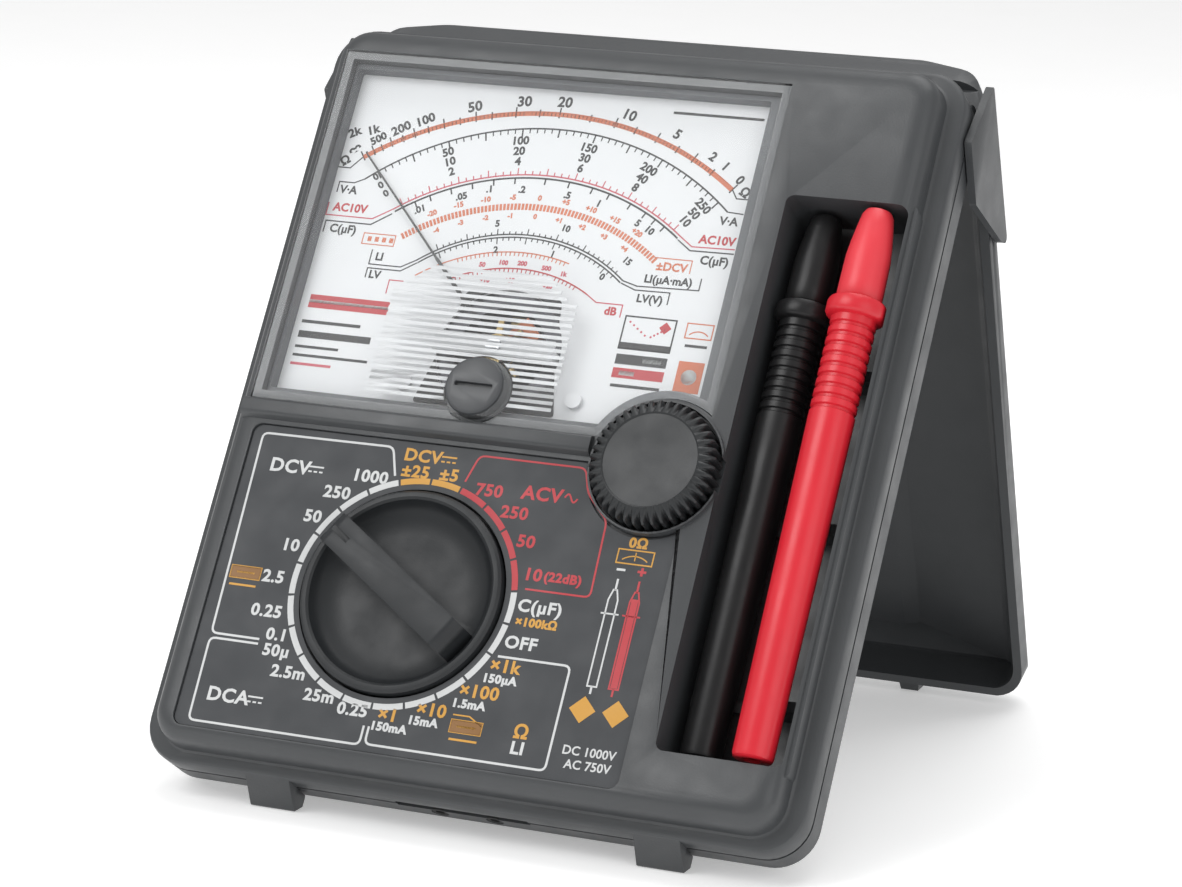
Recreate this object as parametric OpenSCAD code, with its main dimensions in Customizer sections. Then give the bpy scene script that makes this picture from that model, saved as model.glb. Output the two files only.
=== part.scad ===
// Analog multimeter on its fold-out stand cover.
// Every piece is drawn in the case's own frame: X to the right, Y from the front face into the case,
// Z up the front face, all from the middle of the case's lower edge. The last transform leans the case back.

/* [Case] */
// Width of the case
case_w = 131; // [129:0.5:132]
// Height of the case's upper edge
case_h = 154.2; // [154:0.1:155]
// Corner radius of the case outline
case_corner = 8; // [6:1:10]
// Depth of the joint between front and rear case
seam_y = 12.5; // [12.3:0.1:12.9]
// Depth of the flange behind the joint
band_y = 17.3; // [17.1:0.1:17.4]
// Depth of the rear case
rear_y = 30; // [29:0.5:30]
// Wall thickness of the rear case
wall = 1.8; // [1.5:0.1:2]

/* [Front] */
// How far the front face stands in from the sides
ledge_w = 3.5; // [3:0.1:4]
// How far it stands in from the upper and lower edges
ledge_h = 2.6; // [2.2:0.1:3]
// Depth of the ledge round the front face
ledge_y = 7; // [6.5:0.1:7.5]
// Thickness of the front wall
front_wall = 2.8; // [2.6:0.1:3]
// Height of the cross bar between window and range panel
bar_rise = 1.4; // [0.8:0.1:1.8]

/* [Range knob] */
// Radius of the range knob
knob_r = 19.9; // [19:0.1:20.1]
// How far the grip bar stands out of the front face
grip_rise = 5; // [4:0.5:7]
// Width of the grip bar
grip_w = 6.6; // [5:0.2:8]
// Number of switch positions
positions = 22; // [12:1:24]

/* [Zero adjust knob] */
// Radius of the zero ohm knob
zero_r = 12.2; // [11:0.1:12.3]
// How far it stands out of the front face
zero_rise = 4.5; // [3:0.5:6]
// Number of flutes on its edge
flutes = 38; // [24:1:44]

/* [Meter movement] */
// Length of the pointer from its axis
pointer_len = 53.7; // [50:0.1:56]
// Angle of the resting pointer, from the horizontal
pointer_rest = 135; // [130:0.1:136]
// Radius of the magnetic core
core_r = 5.8; // [5:0.1:5.9]

/* [Probes] */
// Radius of a probe barrel
probe_r = 4.3; // [4:0.1:4.4]
// Radius of the finger guard
guard_r = 5.6; // [5:0.1:5.6]

/* [Stand cover] */
// Opening angle of the cover when it stands
open_angle = 54.3; // [50:0.1:54.3]
// Length of the cover below its pivot
cover_len = 135.6; // [134:0.1:136]
// Depth of the cover at its crown
cover_depth = 17; // [17:0.5:18]
// Thickness of the cover's walls
cover_wall = 1.8; // [1.4:0.1:1.8]

/* [Hidden] */
$fn = 48;
half_w = case_w / 2;
// height of the case's lower edge
case_low = 1;
face_w = half_w - ledge_w;
// the dial window, as low and high corners in X and Z
win = [-59.35, 72.25, 33.25, 145.95];
win_wall = 1.6;
win_front = -1.5;
win_back = 0.5;
// the range panel
panel = [-57, 6.5, 32.5, 67];
panel_y = 0.5;
plate_t = 0.8;
// the probe trough
trough = [37.6, 14.8, 61.1, 123.6];
trough_y = 14;
trough_wall = 1.2;
// axes of everything that turns in the front
knob_x = -18.2;
knob_z = 37.4;
zero_x = 25.3;
zero_z = 67.2;
axis_x = -13.7;
axis_z = 88.4;
corr_z = 78.6;
corr_r = 5.8;
shaft_r = 3;
run = 0.08;
// the probes
black_at = [43.6, 7.6];
red_at = [55.1, 2.5];
probe_low = 16;
guard_z = 104.5;
probe_top = 122.8;
// depths inside the meter
bezel_y = 2.2;
dial_y = 5;
dial_t = 0.6;
frame_y = 5.7;
yoke_y = 6;
yoke_len = 9;
gap_r = 9.2;
yoke_r = 12.5;
pointer_y = 4.1;
lever_y = 2.9;
pin_off = 2.2;
// depths of the range switch
rotor_y = 6.5;
rotor_t = 2.5;
board_y = 11;
board_t = 1.6;
ball_r = 0.8;
detent_r = 12;
// screws that hold the two halves together
bosses = [[-45, 69.5], [48, 138], [48, 8.8]];
boss_r = 2.4;
// the two cells
cell_r = 7.25;
cell_len = 49.5;
cell_x = -42;
cell_y = 20.6;
cells = [116.5, 132.5];
fuse_at = [24, 24];
fuse_z = 108;
// height of the rear case's lower edge, inside the closed cover
rear_low = 14.4;
// the cover's pivot, and the cover measured from it
pivot_y = 14.9;
pivot_z = 147;
pin_r = 1.5;
rim = 3;
cover_top = -4.4;
ear_in = half_w + 0.3;
ear_t = 1.4;
// depth of the two lead holes
lead_y = 14.7;
// the feet, and the lean that puts all four of them on one plane
foot_x = 38.8;
foot_y = 13.6;
foot_z = -3.4;
cover_foot_x = 40;
cover_foot_s = 139.2;
cover_foot_h = 6.9;
tip_y = pivot_y + cover_foot_s * sin(open_angle) + cover_foot_h * cos(open_angle);
tip_z = pivot_z - cover_foot_s * cos(open_angle) + cover_foot_h * sin(open_angle);
lean = atan((tip_z - foot_z) / (tip_y - foot_y));
stand_y = -80.267;
knob_turn = 90 + 3.5 * 360 / positions;

// ---- placing ----
module leaned() {
    translate([0, stand_y, foot_y * sin(lean) - foot_z * cos(lean)])
        rotate([-lean, 0, 0]) children();
}

// a flat outline in X and Z, given depth from y0 to y1
module slab(y0, y1) {
    translate([0, y1, 0]) rotate([90, 0, 0]) linear_extrude(y1 - y0) children();
}

// a flat outline in Y and Z, given width from x0 to x1
module across(x0, x1) {
    translate([x0, 0, 0]) rotate([90, 0, 90]) linear_extrude(x1 - x0) children();
}

// a round bar along the depth
module bar_y(x, z, r, y0, y1) {
    translate([x, y1, z]) rotate([90, 0, 0]) cylinder(r = r, h = y1 - y0);
}

module bar_x(y, z, r, x0, x1) {
    translate([x0, y, z]) rotate([0, 90, 0]) cylinder(r = r, h = x1 - x0);
}

module block(x0, y0, z0, x1, y1, z1) {
    translate([x0, y0, z0]) cube([x1 - x0, y1 - y0, z1 - z0]);
}

// ---- outlines ----
// a rectangle with round corners, by its low and high corners
module rounded(x0, z0, x1, z1, r) {
    translate([x0 + r, z0]) square([x1 - x0 - 2 * r, z1 - z0]);
    translate([x0, z0 + r]) square([x1 - x0, z1 - z0 - 2 * r]);
    for (x = [x0 + r, x1 - r], z = [z0 + r, z1 - r]) translate([x, z]) circle(r);
}

module case_outline(in) {
    rounded(-half_w + in, case_low + in, half_w - in, case_h - in, case_corner - in * 0.7);
}

module zero_circle(r) {
    translate([zero_x, zero_z]) circle(r, $fn = 96);
}

// the window's outline, shrunk by inset, round the zero ohm knob
module window_outline(inset, hollow_r) {
    difference() {
        rounded(win[0] + inset, win[1] + inset, win[2] - inset, win[3] - inset, 0.8);
        zero_circle(hollow_r);
    }
}

// ---- case ----
module foot() {
    slope = tan(lean);
    across(-4.5, 4.5) polygon([[8, 2.5], [seam_y - 0.1, 2.5], [seam_y - 0.1, 0.7], [16.6, 0.7],
        [16.6, foot_z + (16.6 - foot_y) * slope], [foot_y, foot_z], [8, 1]]);
}

module cradle(at, x0, x1) {
    for (z = [28, 62, 92]) block(x0, at[1] + probe_r + 0.3, z - 1, x1, trough_y + 0.1, z + 1);
}

module front_case() {
    color("dimgray") difference() {
        union() {
            difference() {
                union() {
                    slab(0, ledge_y) rounded(-face_w, case_low + ledge_h, face_w, case_h - ledge_h, 6);
                    slab(ledge_y, seam_y) case_outline(0);
                }
                slab(front_wall, seam_y + 1)
                    rounded(-face_w + 2, case_low + ledge_h + 2, face_w - 2, case_h - ledge_h - 2, 4);
                slab(ledge_y + 2, seam_y + 1) case_outline(wall);
                slab(-1, front_wall + 1) window_outline(-0.15, zero_r + 1.5);
            }
            slab(-bar_rise, 0.1) translate([-60.5, 67.9]) square([72, 4.1]);
            slab(-1, front_wall) zero_circle(zero_r + 1.4);
            bar_y(knob_x, knob_z, knob_r + 2, 1, 6);
            slab(front_wall - 0.1, trough_y + trough_wall)
                translate([trough[0] - trough_wall, trough[1] - trough_wall])
                square([trough[2] - trough[0] + 2 * trough_wall, trough[3] - trough[1] + 2 * trough_wall]);
            for (b = bosses) bar_y(b[0], b[1], boss_r, front_wall - 0.1, 14);
            for (side = [-1, 1]) translate([side * foot_x, 0, 0]) foot();
        }
        slab(-1, panel_y + plate_t) intersection() {
            rounded(panel[0], panel[1], panel[2], panel[3], 2);
            difference() {
                square(400, center = true);
                zero_circle(zero_r + 1.4);
            }
        }
        bar_y(knob_x, knob_z, knob_r + 0.5, -1, 4.8);
        bar_y(knob_x, knob_z, shaft_r + run, 4, 7);
        bar_y(zero_x, zero_z, zero_r + 0.5, -3, 1.6);
        bar_y(zero_x, zero_z, shaft_r + run, 1, 4);
        difference() {
            slab(-1, trough_y) translate([trough[0], trough[1]])
                square([trough[2] - trough[0], trough[3] - trough[1]]);
            cradle(black_at, trough[0] - 1, 49.3);
            cradle(red_at, 49.7, trough[2] + 1);
        }
        for (b = bosses) bar_y(b[0], b[1], 1.25, 5, 15);
        block(-14, seam_y - 1.3, -1, 12.6, seam_y + 1, case_low + wall + 0.2);
    }
}

module rear_shape(in) {
    intersection() {
        slab(seam_y + 0.1, rear_y - in) rounded(-60.6 + in, rear_low + in, 60.6 - in, 150.4 - in, 5 - in);
        translate([0, 0, -10]) linear_extrude(200) polygon([[-60.6 + in, 0], [-60.6 + in, 22 - in * 0.4],
            [-44 + in * 0.3, rear_y - in], [44 - in * 0.3, rear_y - in],
            [60.6 - in, 22 - in * 0.4], [60.6 - in, 0]]);
        across(-70, 70) polygon([[0, rear_low + in], [23 - in * 0.4, rear_low + in],
            [rear_y - in, 21 + in * 0.4],
            [rear_y - in, 142.5 - in * 0.4], [23 - in * 0.4, 150.4 - in], [0, 150.4 - in]]);
    }
}

module pivot_boss(side) {
    intersection() {
        bar_x(pivot_y, pivot_z, 4.2, side > 0 ? 59 : -half_w + 1, side > 0 ? half_w - 1 : -59);
        block(-70, seam_y + 0.2, 100, 70, band_y, 160);
    }
}

module rear_case() {
    color("dimgray") difference() {
        union() {
            difference() {
                union() {
                    slab(seam_y + 0.1, band_y) case_outline(0);
                    rear_shape(0);
                }
                slab(seam_y, band_y - wall) case_outline(wall);
                translate([0, -0.1, 0]) rear_shape(wall);
            }
            for (side = [-1, 1]) pivot_boss(side);
            intersection() {
                union() {
                    rear_shape(0.5);
                    slab(seam_y, band_y - 0.1) case_outline(1);
                }
                for (b = bosses) bar_y(b[0], b[1], boss_r + 1.8, 14.3, rear_y);
            }
            block(-48, 14.5, 108, -46.5, rear_y - wall + 0.1, 141);
            block(13.2, 14.5, 108, 14.7, rear_y - wall + 0.1, 141);
        }
        bar_x(pivot_y, pivot_z, pin_r + 0.05, -half_w - 1, half_w + 1);
        for (b = bosses) bar_y(b[0], b[1], 1.6, 14, rear_y + 1);
        for (b = bosses) bar_y(b[0], b[1], 3, seat(b), rear_y + 1);
        block(-14, seam_y, -1, 12.6, seam_y + 0.9, case_low + wall + 0.2);
        for (x = [-6, 5]) translate([x, lead_y, case_low - 1]) {
            cylinder(r = 1.7, h = 4);
            translate([0, 0, wall + 1]) cylinder(r = 2.1, h = 2.4);
        }
    }
}

// depth of the seat of a screw's head
function seat(b) = b[1] < 20 ? 15.9 : 24;

module case_screws() {
    color("silver") for (b = bosses) translate([b[0], seat(b), b[1]]) difference() {
        union() {
            bar_y(0, 0, 1.2, 6.5 - seat(b), 0.1);
            bar_y(0, 0, 2.8, 0, 1.3);
        }
        block(-2, 0.6, -0.35, 2, 3, 0.35);
        block(-0.35, 0.6, -2, 0.35, 3, 2);
    }
}

module lead_grommets() {
    color("black") for (x = [-6, 5]) translate([x, lead_y, case_low]) difference() {
        union() {
            translate([0, 0, 0.1]) cylinder(r = 1.65, h = 3.4);
            translate([0, 0, 1.9]) cylinder(r = 2, h = 2.2);
        }
        translate([0, 0, -1]) cylinder(r = 0.95, h = 8);
    }
}

// ---- window and dial ----
module window() {
    color([0.85, 0.93, 0.95, 0.35]) difference() {
        union() {
            slab(win_front, win_back) window_outline(0, zero_r + 1.7);
            difference() {
                slab(win_back - 0.1, dial_y + dial_t) window_outline(0, zero_r + 1.7);
                slab(win_back - 0.2, dial_y + 1) window_outline(win_wall, zero_r + 3.3);
            }
            block(-22, front_wall + 0.2, 145.8, -8, front_wall + 1.6, 147.2);
            block(-40, front_wall + 0.2, 71, -28, front_wall + 1.6, 72.4);
            block(33.1, front_wall + 0.2, 100, 34.4, front_wall + 1.6, 112);
        }
        bar_y(axis_x, corr_z, corr_r + run, -3, 2);
        bar_y(axis_x, corr_z, corr_r + 1, win_back, 2);
    }
}

module dial_bezel() {
    color("slategray") slab(bezel_y, dial_y - 0.1) difference() {
        window_outline(win_wall + 0.15, zero_r + 3.5);
        rounded(-57, 75.2, 29.3, 143.2, 0.5);
    }
}

module dial_plate() {
    color("white") slab(dial_y, dial_y + dial_t) difference() {
        window_outline(win_wall + 0.15, zero_r + 3.5);
        translate([axis_x, axis_z]) circle(yoke_r + 0.1);
        for (x = [-31, 4]) translate([x, 80]) circle(0.9);
    }
}

module dial_screws() {
    color("silver") for (x = [-31, 4]) union() {
        bar_y(x, 80, 0.8, dial_y - 0.1, 8);
        bar_y(x, 80, 1.6, dial_y - 1, dial_y - 0.1);
    }
}

module meter_frame() {
    color("darkslategray") difference() {
        slab(frame_y, 8.2) difference() {
            translate([-59.9, 76]) square([96, 28]);
            translate([axis_x, axis_z]) circle(yoke_r + 0.05);
            zero_circle(zero_r + 4.5);
        }
        for (x = [-31, 4]) bar_y(x, 80, 0.82, 5, 9);
    }
}

// ---- range panel and switch ----
module range_plate() {
    color("darkslategray") slab(panel_y, panel_y + plate_t) difference() {
        rounded(panel[0] + 0.15, panel[1] + 0.15, panel[2] - 0.15, panel[3] - 0.15, 1.9);
        translate([knob_x, knob_z]) circle(knob_r + 0.5, $fn = 96);
        zero_circle(zero_r + 1.5);
    }
}

module at_knob() {
    translate([knob_x, 0, knob_z]) rotate([0, -knob_turn, 0]) children();
}

module range_knob() {
    color("dimgray") at_knob() difference() {
        union() {
            difference() {
                bar_y(0, 0, knob_r, -1, 4.4);
                bar_y(0, 0, knob_r - 2, -2, 2.6);
            }
            intersection() {
                block(-knob_r, -grip_rise, -grip_w / 2, knob_r, 3, grip_w / 2);
                bar_y(0, 0, knob_r - 0.1, -grip_rise - 1, 4);
            }
            bar_y(0, 0, shaft_r, 4.3, 14.2);
        }
        block(knob_r - 7, -grip_rise - 1, -0.5, knob_r - 2, -grip_rise + 0.8, 0.5);
        difference() {
            bar_y(0, 0, shaft_r + 1, 13, 13.6);
            bar_y(0, 0, shaft_r - 0.6, 12.9, 13.7);
        }
    }
}

module switch_rotor() {
    color("saddlebrown") at_knob() difference() {
        bar_y(0, 0, 17, rotor_y, rotor_y + rotor_t);
        bar_y(0, 0, shaft_r + 0.02, rotor_y - 1, rotor_y + rotor_t + 1);
        for (side = [-1, 1]) bar_y(side * detent_r, 0, ball_r + 0.05, rotor_y - 1, 8.7);
    }
}

module detent_balls() {
    color("silver") at_knob() for (side = [-1, 1]) translate([side * detent_r, 7.05, 0]) sphere(r = ball_r);
}

module detent_springs() {
    color("silver") at_knob() for (side = [-1, 1]) difference() {
        bar_y(side * detent_r, 0, 0.75, 7.8, 8.65);
        bar_y(side * detent_r, 0, 0.45, 7.7, 8.8);
    }
}

module wipers() {
    color("gold") at_knob() for (r = [7, 10, 14.4]) {
        block(r - 0.5, rotor_y + rotor_t, -3, r + 0.5, rotor_y + rotor_t + 0.4, 3);
        block(r - 0.5, rotor_y + rotor_t, 1.8, r + 0.5, board_y - 0.35, 3);
    }
}

module knob_clip() {
    color("silver") at_knob() difference() {
        bar_y(0, 0, 4.4, 13.05, 13.55);
        bar_y(0, 0, shaft_r - 0.55, 12, 15);
        block(-1.6, 12, -5, 1.6, 15, 0);
    }
}

module circuit_board() {
    color("darkgreen") slab(board_y, board_y + board_t) difference() {
        union() {
            translate([-56, 6.2]) square([91, 59.8]);
            translate([15, 65]) square([20, 10]);
        }
        translate([knob_x, knob_z]) circle(shaft_r + 0.4);
        translate([zero_x, zero_z]) circle(shaft_r + 0.4);
    }
}

module switch_pads() {
    color("goldenrod") translate([knob_x, 0, knob_z]) slab(board_y - 0.15, board_y) {
        for (r = [7, 10]) difference() {
            circle(r + 0.8);
            circle(r - 0.8);
        }
        for (k = [0 : positions - 1]) rotate((k + 0.5) * 360 / positions)
            translate([13.2, -1.3]) square([2.6, 2.6]);
    }
}

module resistors() {
    color("tan") for (k = [0 : 9]) {
        x = 8 + 5 * (k % 5);
        z = k < 5 ? 14 : 30;
        translate([x, board_y + board_t + 1.2, z]) {
            cylinder(r = 1.1, h = 6.5);
            translate([0, 0, -2]) cylinder(r = 0.3, h = 10.5);
        }
        for (end = [-1.7, 8.2]) bar_y(x, z + end, 0.3, board_y + board_t, board_y + board_t + 1.4);
    }
}

module capacitors() {
    color("navy") for (x = [-48, -40]) bar_y(x, 57, 3.1, board_y + board_t, 23);
}

module diodes() {
    color("black") for (x = [9, 14]) translate([x, board_y + board_t + 1, 48]) {
        cylinder(r = 1, h = 4);
        translate([0, 0, -1.5]) cylinder(r = 0.3, h = 7);
        for (end = [-1.2, 5.2]) translate([0, 0, end]) rotate([90, 0, 0]) cylinder(r = 0.3, h = 1);
    }
}

module trimmer() {
    color("royalblue") difference() {
        block(-52, board_y + board_t, 40, -45, board_y + board_t + 4, 47);
        block(-50.5, board_y + board_t + 3.2, 43.1, -46.5, board_y + board_t + 5, 43.9);
    }
}

// ---- zero ohm knob ----
module zero_ohm_knob() {
    color("dimgray") difference() {
        union() {
            bar_y(zero_x, zero_z, zero_r - 1.4, -zero_rise, 1.25);
            bar_y(zero_x, zero_z, zero_r, -zero_rise + 1.3, 1.25);
        }
        for (k = [0 : flutes - 1]) translate([zero_x, 0, zero_z]) rotate([0, k * 360 / flutes, 0])
            translate([zero_r + 0.25, 0, 0]) bar_y(0, 0, 0.65, -zero_rise - 1, 2);
        bar_y(zero_x, zero_z, shaft_r + 0.02, -2.9, 2);
        bar_y(zero_x, zero_z, 8.7, -zero_rise - 1, -zero_rise + 0.3);
    }
}

module pot_shaft() {
    color("silver") bar_y(zero_x, zero_z, shaft_r, -2.8, 10.4);
}

module potentiometer() {
    color("black") difference() {
        union() {
            block(zero_x - 8, 6.6, zero_z - 8, zero_x + 8, board_y - 0.1, zero_z + 8);
            bar_y(zero_x, zero_z, 4.5, front_wall + 0.1, 7);
        }
        bar_y(zero_x, zero_z, shaft_r + run, 2, 10.6);
    }
}

// ---- meter movement ----
module at_axis() {
    translate([axis_x, 0, axis_z]) children();
}

module meter_yoke() {
    color("gray") at_axis() difference() {
        bar_y(0, 0, yoke_r, yoke_y, yoke_y + yoke_len);
        bar_y(0, 0, gap_r, 5, 20);
        for (a = [0, 180]) rotate([0, a, 0]) bar_y(10.85, 0, 0.62, 5, 20);
    }
}

module meter_core() {
    color("lightgray") at_axis() difference() {
        bar_y(0, 0, core_r, 7.2, 14.8);
        bar_y(0, 0, 1, 7, 15);
    }
}

module core_holder() {
    color("gold") at_axis() for (side = [-1, 1]) intersection() {
        difference() {
            bar_y(0, 0, gap_r - 0.02, 10, 12);
            bar_y(0, 0, core_r + 0.02, 9, 13);
        }
        block(-1.2, 9, side > 0 ? 0 : -12, 1.2, 13, side > 0 ? 12 : 0);
    }
}

module bridge(y0, y1, post0, post1) {
    difference() {
        block(-12.2, y0, -2, 12.2, y1, 2);
        bar_y(0, 0, 1.52, y0 - 1, y1 + 1);
    }
    for (side = [-1, 1]) {
        bar_y(side * 10.85, 0, 1.2, post0, post1);
        bar_y(side * 10.85, 0, 0.6, min(post0, yoke_y + 1), max(post1, yoke_y + yoke_len - 1));
    }
}

module meter_bridges() {
    color("gold") at_axis() {
        bridge(2, 2.8, 2.7, yoke_y - 0.02);
        bridge(18.2, 19, yoke_y + yoke_len + 0.02, 18.3);
    }
}

module jewel_screws() {
    color("silver") at_axis() {
        difference() {
            bar_y(0, 0, 1.5, 1.7, 3.75);
            bar_y(0, 0, 0.45, 3, 4);
        }
        difference() {
            bar_y(0, 0, 1.5, 17.1, 20);
            bar_y(0, 0, 0.45, 16, 17.9);
        }
    }
}

// the coil lies across the pointer
module at_coil() {
    at_axis() rotate([0, -(pointer_rest - 90), 0]) children();
}

module coil_ring(u0, u1, y0, y1, t) {
    block(-u1, y0, -2.5, u1, y0 + t, 2.5);
    block(-u1, y1 - t, -2.5, u1, y1, 2.5);
    for (side = [-1, 1]) block(side > 0 ? u0 : -u1, y0, -2.5, side > 0 ? u1 : -u0, y1, 2.5);
}

module coil_former() {
    color("silver") at_coil() coil_ring(6.5, 7, 6.2, 15.8, 0.5);
}

module coil_winding() {
    color("chocolate") at_coil() coil_ring(7.02, 8.2, 5.45, 16.55, 0.73);
}

module coil_pivots() {
    color("silver") at_axis() {
        bar_y(0, 0, 0.4, 3.1, 4);
        bar_y(0, 0, 1.1, 5.1, 5.43);
        bar_y(0, 0, 0.4, 16.9, 17.8);
        bar_y(0, 0, 1.1, 16.57, 17);
    }
}

module pointer() {
    color("black") at_axis() {
        difference() {
            bar_y(0, 0, 1.8, pointer_y - 0.1, 5.05);
            bar_y(0, 0, 0.42, 3, 3.98);
        }
        rotate([0, -pointer_rest, 0]) {
            block(1, pointer_y, -0.45, pointer_len * 0.45, pointer_y + 0.35, 0.45);
            block(pointer_len * 0.44, pointer_y, -0.25, pointer_len, pointer_y + 0.35, 0.25);
            block(-7.5, pointer_y, -0.4, -1, pointer_y + 0.35, 0.4);
            block(-0.4, pointer_y, -6, 0.4, pointer_y + 0.35, 6);
        }
    }
}

module balance_weights() {
    color("gold") at_axis() rotate([0, -pointer_rest, 0]) {
        for (side = [-1, 1]) difference() {
            translate([0, pointer_y + 0.175, side * 5]) cylinder(r = 0.7, h = 1.6, center = true);
            block(-0.42, pointer_y - 0.02, side * 5 - 1, 0.42, pointer_y + 0.37, side * 5 + 1);
        }
        difference() {
            translate([-6.4, pointer_y + 0.175, 0]) rotate([0, 90, 0]) cylinder(r = 0.7, h = 2, center = true);
            block(-8, pointer_y - 0.02, -0.42, -5, pointer_y + 0.37, 0.42);
        }
    }
}

// a flat spiral of band thickness t
function spiral(r0, r1, turns, n) = [for (k = [0 : n])
    let (a = 360 * turns * k / n, r = r0 + (r1 - r0) * k / n) [r * cos(a), r * sin(a)]];

module spiral_band(y0, y1) {
    inner = spiral(2, 3.8, 3, 72);
    outer = spiral(2.22, 4.02, 3, 72);
    slab(y0, y1) polygon(concat(inner, [for (k = [72 : -1 : 0]) outer[k]]));
}

module hairsprings() {
    color("goldenrod") at_axis() {
        spiral_band(4.65, 4.95);
        spiral_band(17.15, 17.45);
    }
}

module zero_lever() {
    color("silver") at_axis() difference() {
        union() {
            bar_y(0, 0, 2.7, lever_y, lever_y + 0.4);
            block(-1.5, lever_y, -8.3, 1.5, lever_y + 0.4, 0);
            block(-0.6, lever_y, 0, 0.6, lever_y + 0.4, 6);
        }
        bar_y(0, 0, 1.58, 2, 4);
        block(-0.75, 2, -9, 0.75, 4, -6);
    }
}

module zero_corrector() {
    color("dimgray") translate([axis_x, 0, corr_z]) difference() {
        union() {
            bar_y(0, 0, corr_r, -2.1, 0.85);
            bar_y(0, 0, corr_r + 0.7, 0.8, 1.3);
            bar_y(0, pin_off, 0.6, 1.2, 3.5);
        }
        block(-3.85, -3, -0.55, 3.85, -1.2, 0.55);
    }
}

// ---- power and protection ----
module aa_cells() {
    color("seagreen") for (z = cells) {
        bar_x(cell_y, z, cell_r, cell_x, cell_x + cell_len - 0.2);
        bar_x(cell_y, z, 2.75, cell_x + cell_len - 0.3, cell_x + cell_len + 1);
    }
}

module battery_contacts() {
    color("silver") for (z = cells) {
        block(-46.5, 15.5, z - 5, -46.1, 26, z + 5);
        difference() {
            bar_x(cell_y, z, 3, -46.2, cell_x - 0.05);
            bar_x(cell_y, z, 2.3, -46, cell_x);
        }
        block(12.8, 15.5, z - 5, 13.2, 26, z + 5);
        bar_x(cell_y, z, 2.2, 8.6, 12.9);
    }
}

module fuse() {
    color("whitesmoke") translate([fuse_at[0], fuse_at[1], fuse_z]) {
        cylinder(r = 2.3, h = 20);
        for (z = [0, 15]) translate([0, 0, z]) cylinder(r = 2.6, h = 5);
    }
}

module fuse_clips() {
    color("gold") for (z = [fuse_z + 0.8, fuse_z + 15.8]) difference() {
        block(fuse_at[0] - 3.4, 22, z, fuse_at[0] + 3.4, rear_y - wall - 0.12, z + 3.4);
        translate([fuse_at[0], fuse_at[1], z - 1]) cylinder(r = 2.64, h = 6);
        block(fuse_at[0] - 2, 20, z - 1, fuse_at[0] + 2, fuse_at[1], z + 5);
    }
}

// ---- stand cover ----
// the cover is drawn folded against the back, then opened about its pivot
module opened() {
    translate([0, pivot_y, pivot_z]) rotate([open_angle, 0, 0]) children();
}

// the cover's cross section in X and depth, its rim at zero
module cover_section(in) {
    d = cover_depth;
    polygon([[-half_w + in, -in], [-half_w + in, 5 - in * 0.2], [-half_w + 4 + in * 0.7, d - 6.5 - in * 0.85],
        [-39 + in * 0.2, d - in * 1.05], [-35 - in * 0.15, d - 1 - in], [35 + in * 0.15, d - 1 - in],
        [39 - in * 0.2, d - in * 1.05], [half_w - 4 - in * 0.7, d - 6.5 - in * 0.85],
        [half_w - in, 5 - in * 0.2], [half_w - in, -in]]);
}

module cover_solid(in) {
    intersection() {
        translate([0, rim, -200]) linear_extrude(300) cover_section(in);
        slab(rim - in, rim + cover_depth)
            rounded(-half_w + in, -cover_len + in, half_w - in, -cover_top - in, 7 - in * 0.7);
        across(-70, 70) polygon([[rim - in, -cover_len + in], [rim + 9, -cover_len + 0.6 + in],
            [rim + cover_depth, -cover_len + 5 + in * 0.5], [rim + cover_depth, -cover_top - 3],
            [rim + cover_depth - 3, -cover_top - in], [rim - in, -cover_top - in]]);
    }
}

// room for the rear upper edge of the case, which the cover swings round
module corner_room() {
    across(-80, 80) polygon([[1, -1.4], [rim, -1.4], [8.8, 2.5], [9.7, 2.5], [9.7, 9], [1, 9]]);
}

module ear_shape(low) {
    intersection() {
        polygon([[-7.7, 1.2], [-7.7, -12.2], [5.3, -27.7], [8.7, -30], [7.6, 5.4]]);
        translate([low, -40]) square([30, 60]);
    }
}

module stand_cover() {
    color("dimgray") opened() {
        difference() {
            union() {
                difference() {
                    cover_solid(0);
                    cover_solid(cover_wall);
                }
                across(half_w - 1, ear_in + 0.1) ear_shape(4.2);
                across(-ear_in - 0.1, -half_w + 1) ear_shape(4.2);
            }
            corner_room();
        }
        across(ear_in, ear_in + ear_t) ear_shape(-9);
        across(-ear_in - ear_t, -ear_in) ear_shape(-9);
        bar_x(0, 0, pin_r, half_w - 4, ear_in + 0.1);
        bar_x(0, 0, pin_r, -ear_in - 0.1, -half_w + 4);
        for (side = [-1, 1]) translate([side * cover_foot_x, 0, 0]) intersection() {
            slab(0, 20) polygon([[-2.3, -cover_len + 1], [2.3, -cover_len + 1], [2.3, -cover_len], [1.1, -143],
                [-1.1, -143], [-2.3, -cover_len]]);
            across(-5, 5) polygon([[4.5, -cover_len + 1], [9, -cover_len + 1],
                [9, -cover_foot_s - (9 - cover_foot_h) * tan(open_angle - lean)],
                [4.5, -cover_foot_s + (cover_foot_h - 4.5) * tan(open_angle - lean)]]);
        }
    }
}

// ---- probes ----
module probe_barrel(at) {
    translate([at[0], at[1], 0]) difference() {
        union() {
            translate([0, 0, probe_low]) cylinder(r1 = probe_r - 0.5, r2 = probe_r, h = 60);
            translate([0, 0, probe_low + 60]) cylinder(r = probe_r, h = guard_z - probe_low - 60);
            translate([0, 0, guard_z - 3.6]) cylinder(r = guard_r, h = 3.6);
        }
        translate([0, 0, probe_low - 1]) cylinder(r = 1.6, h = 12);
        translate([0, 0, 90]) cylinder(r = 1.02, h = 20);
        for (k = [0 : 8]) translate([0, 0, 82 + 2 * k]) difference() {
            cylinder(r = probe_r + 1, h = 0.8);
            translate([0, 0, -1]) cylinder(r = probe_r - 0.35, h = 3);
        }
    }
}

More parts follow.
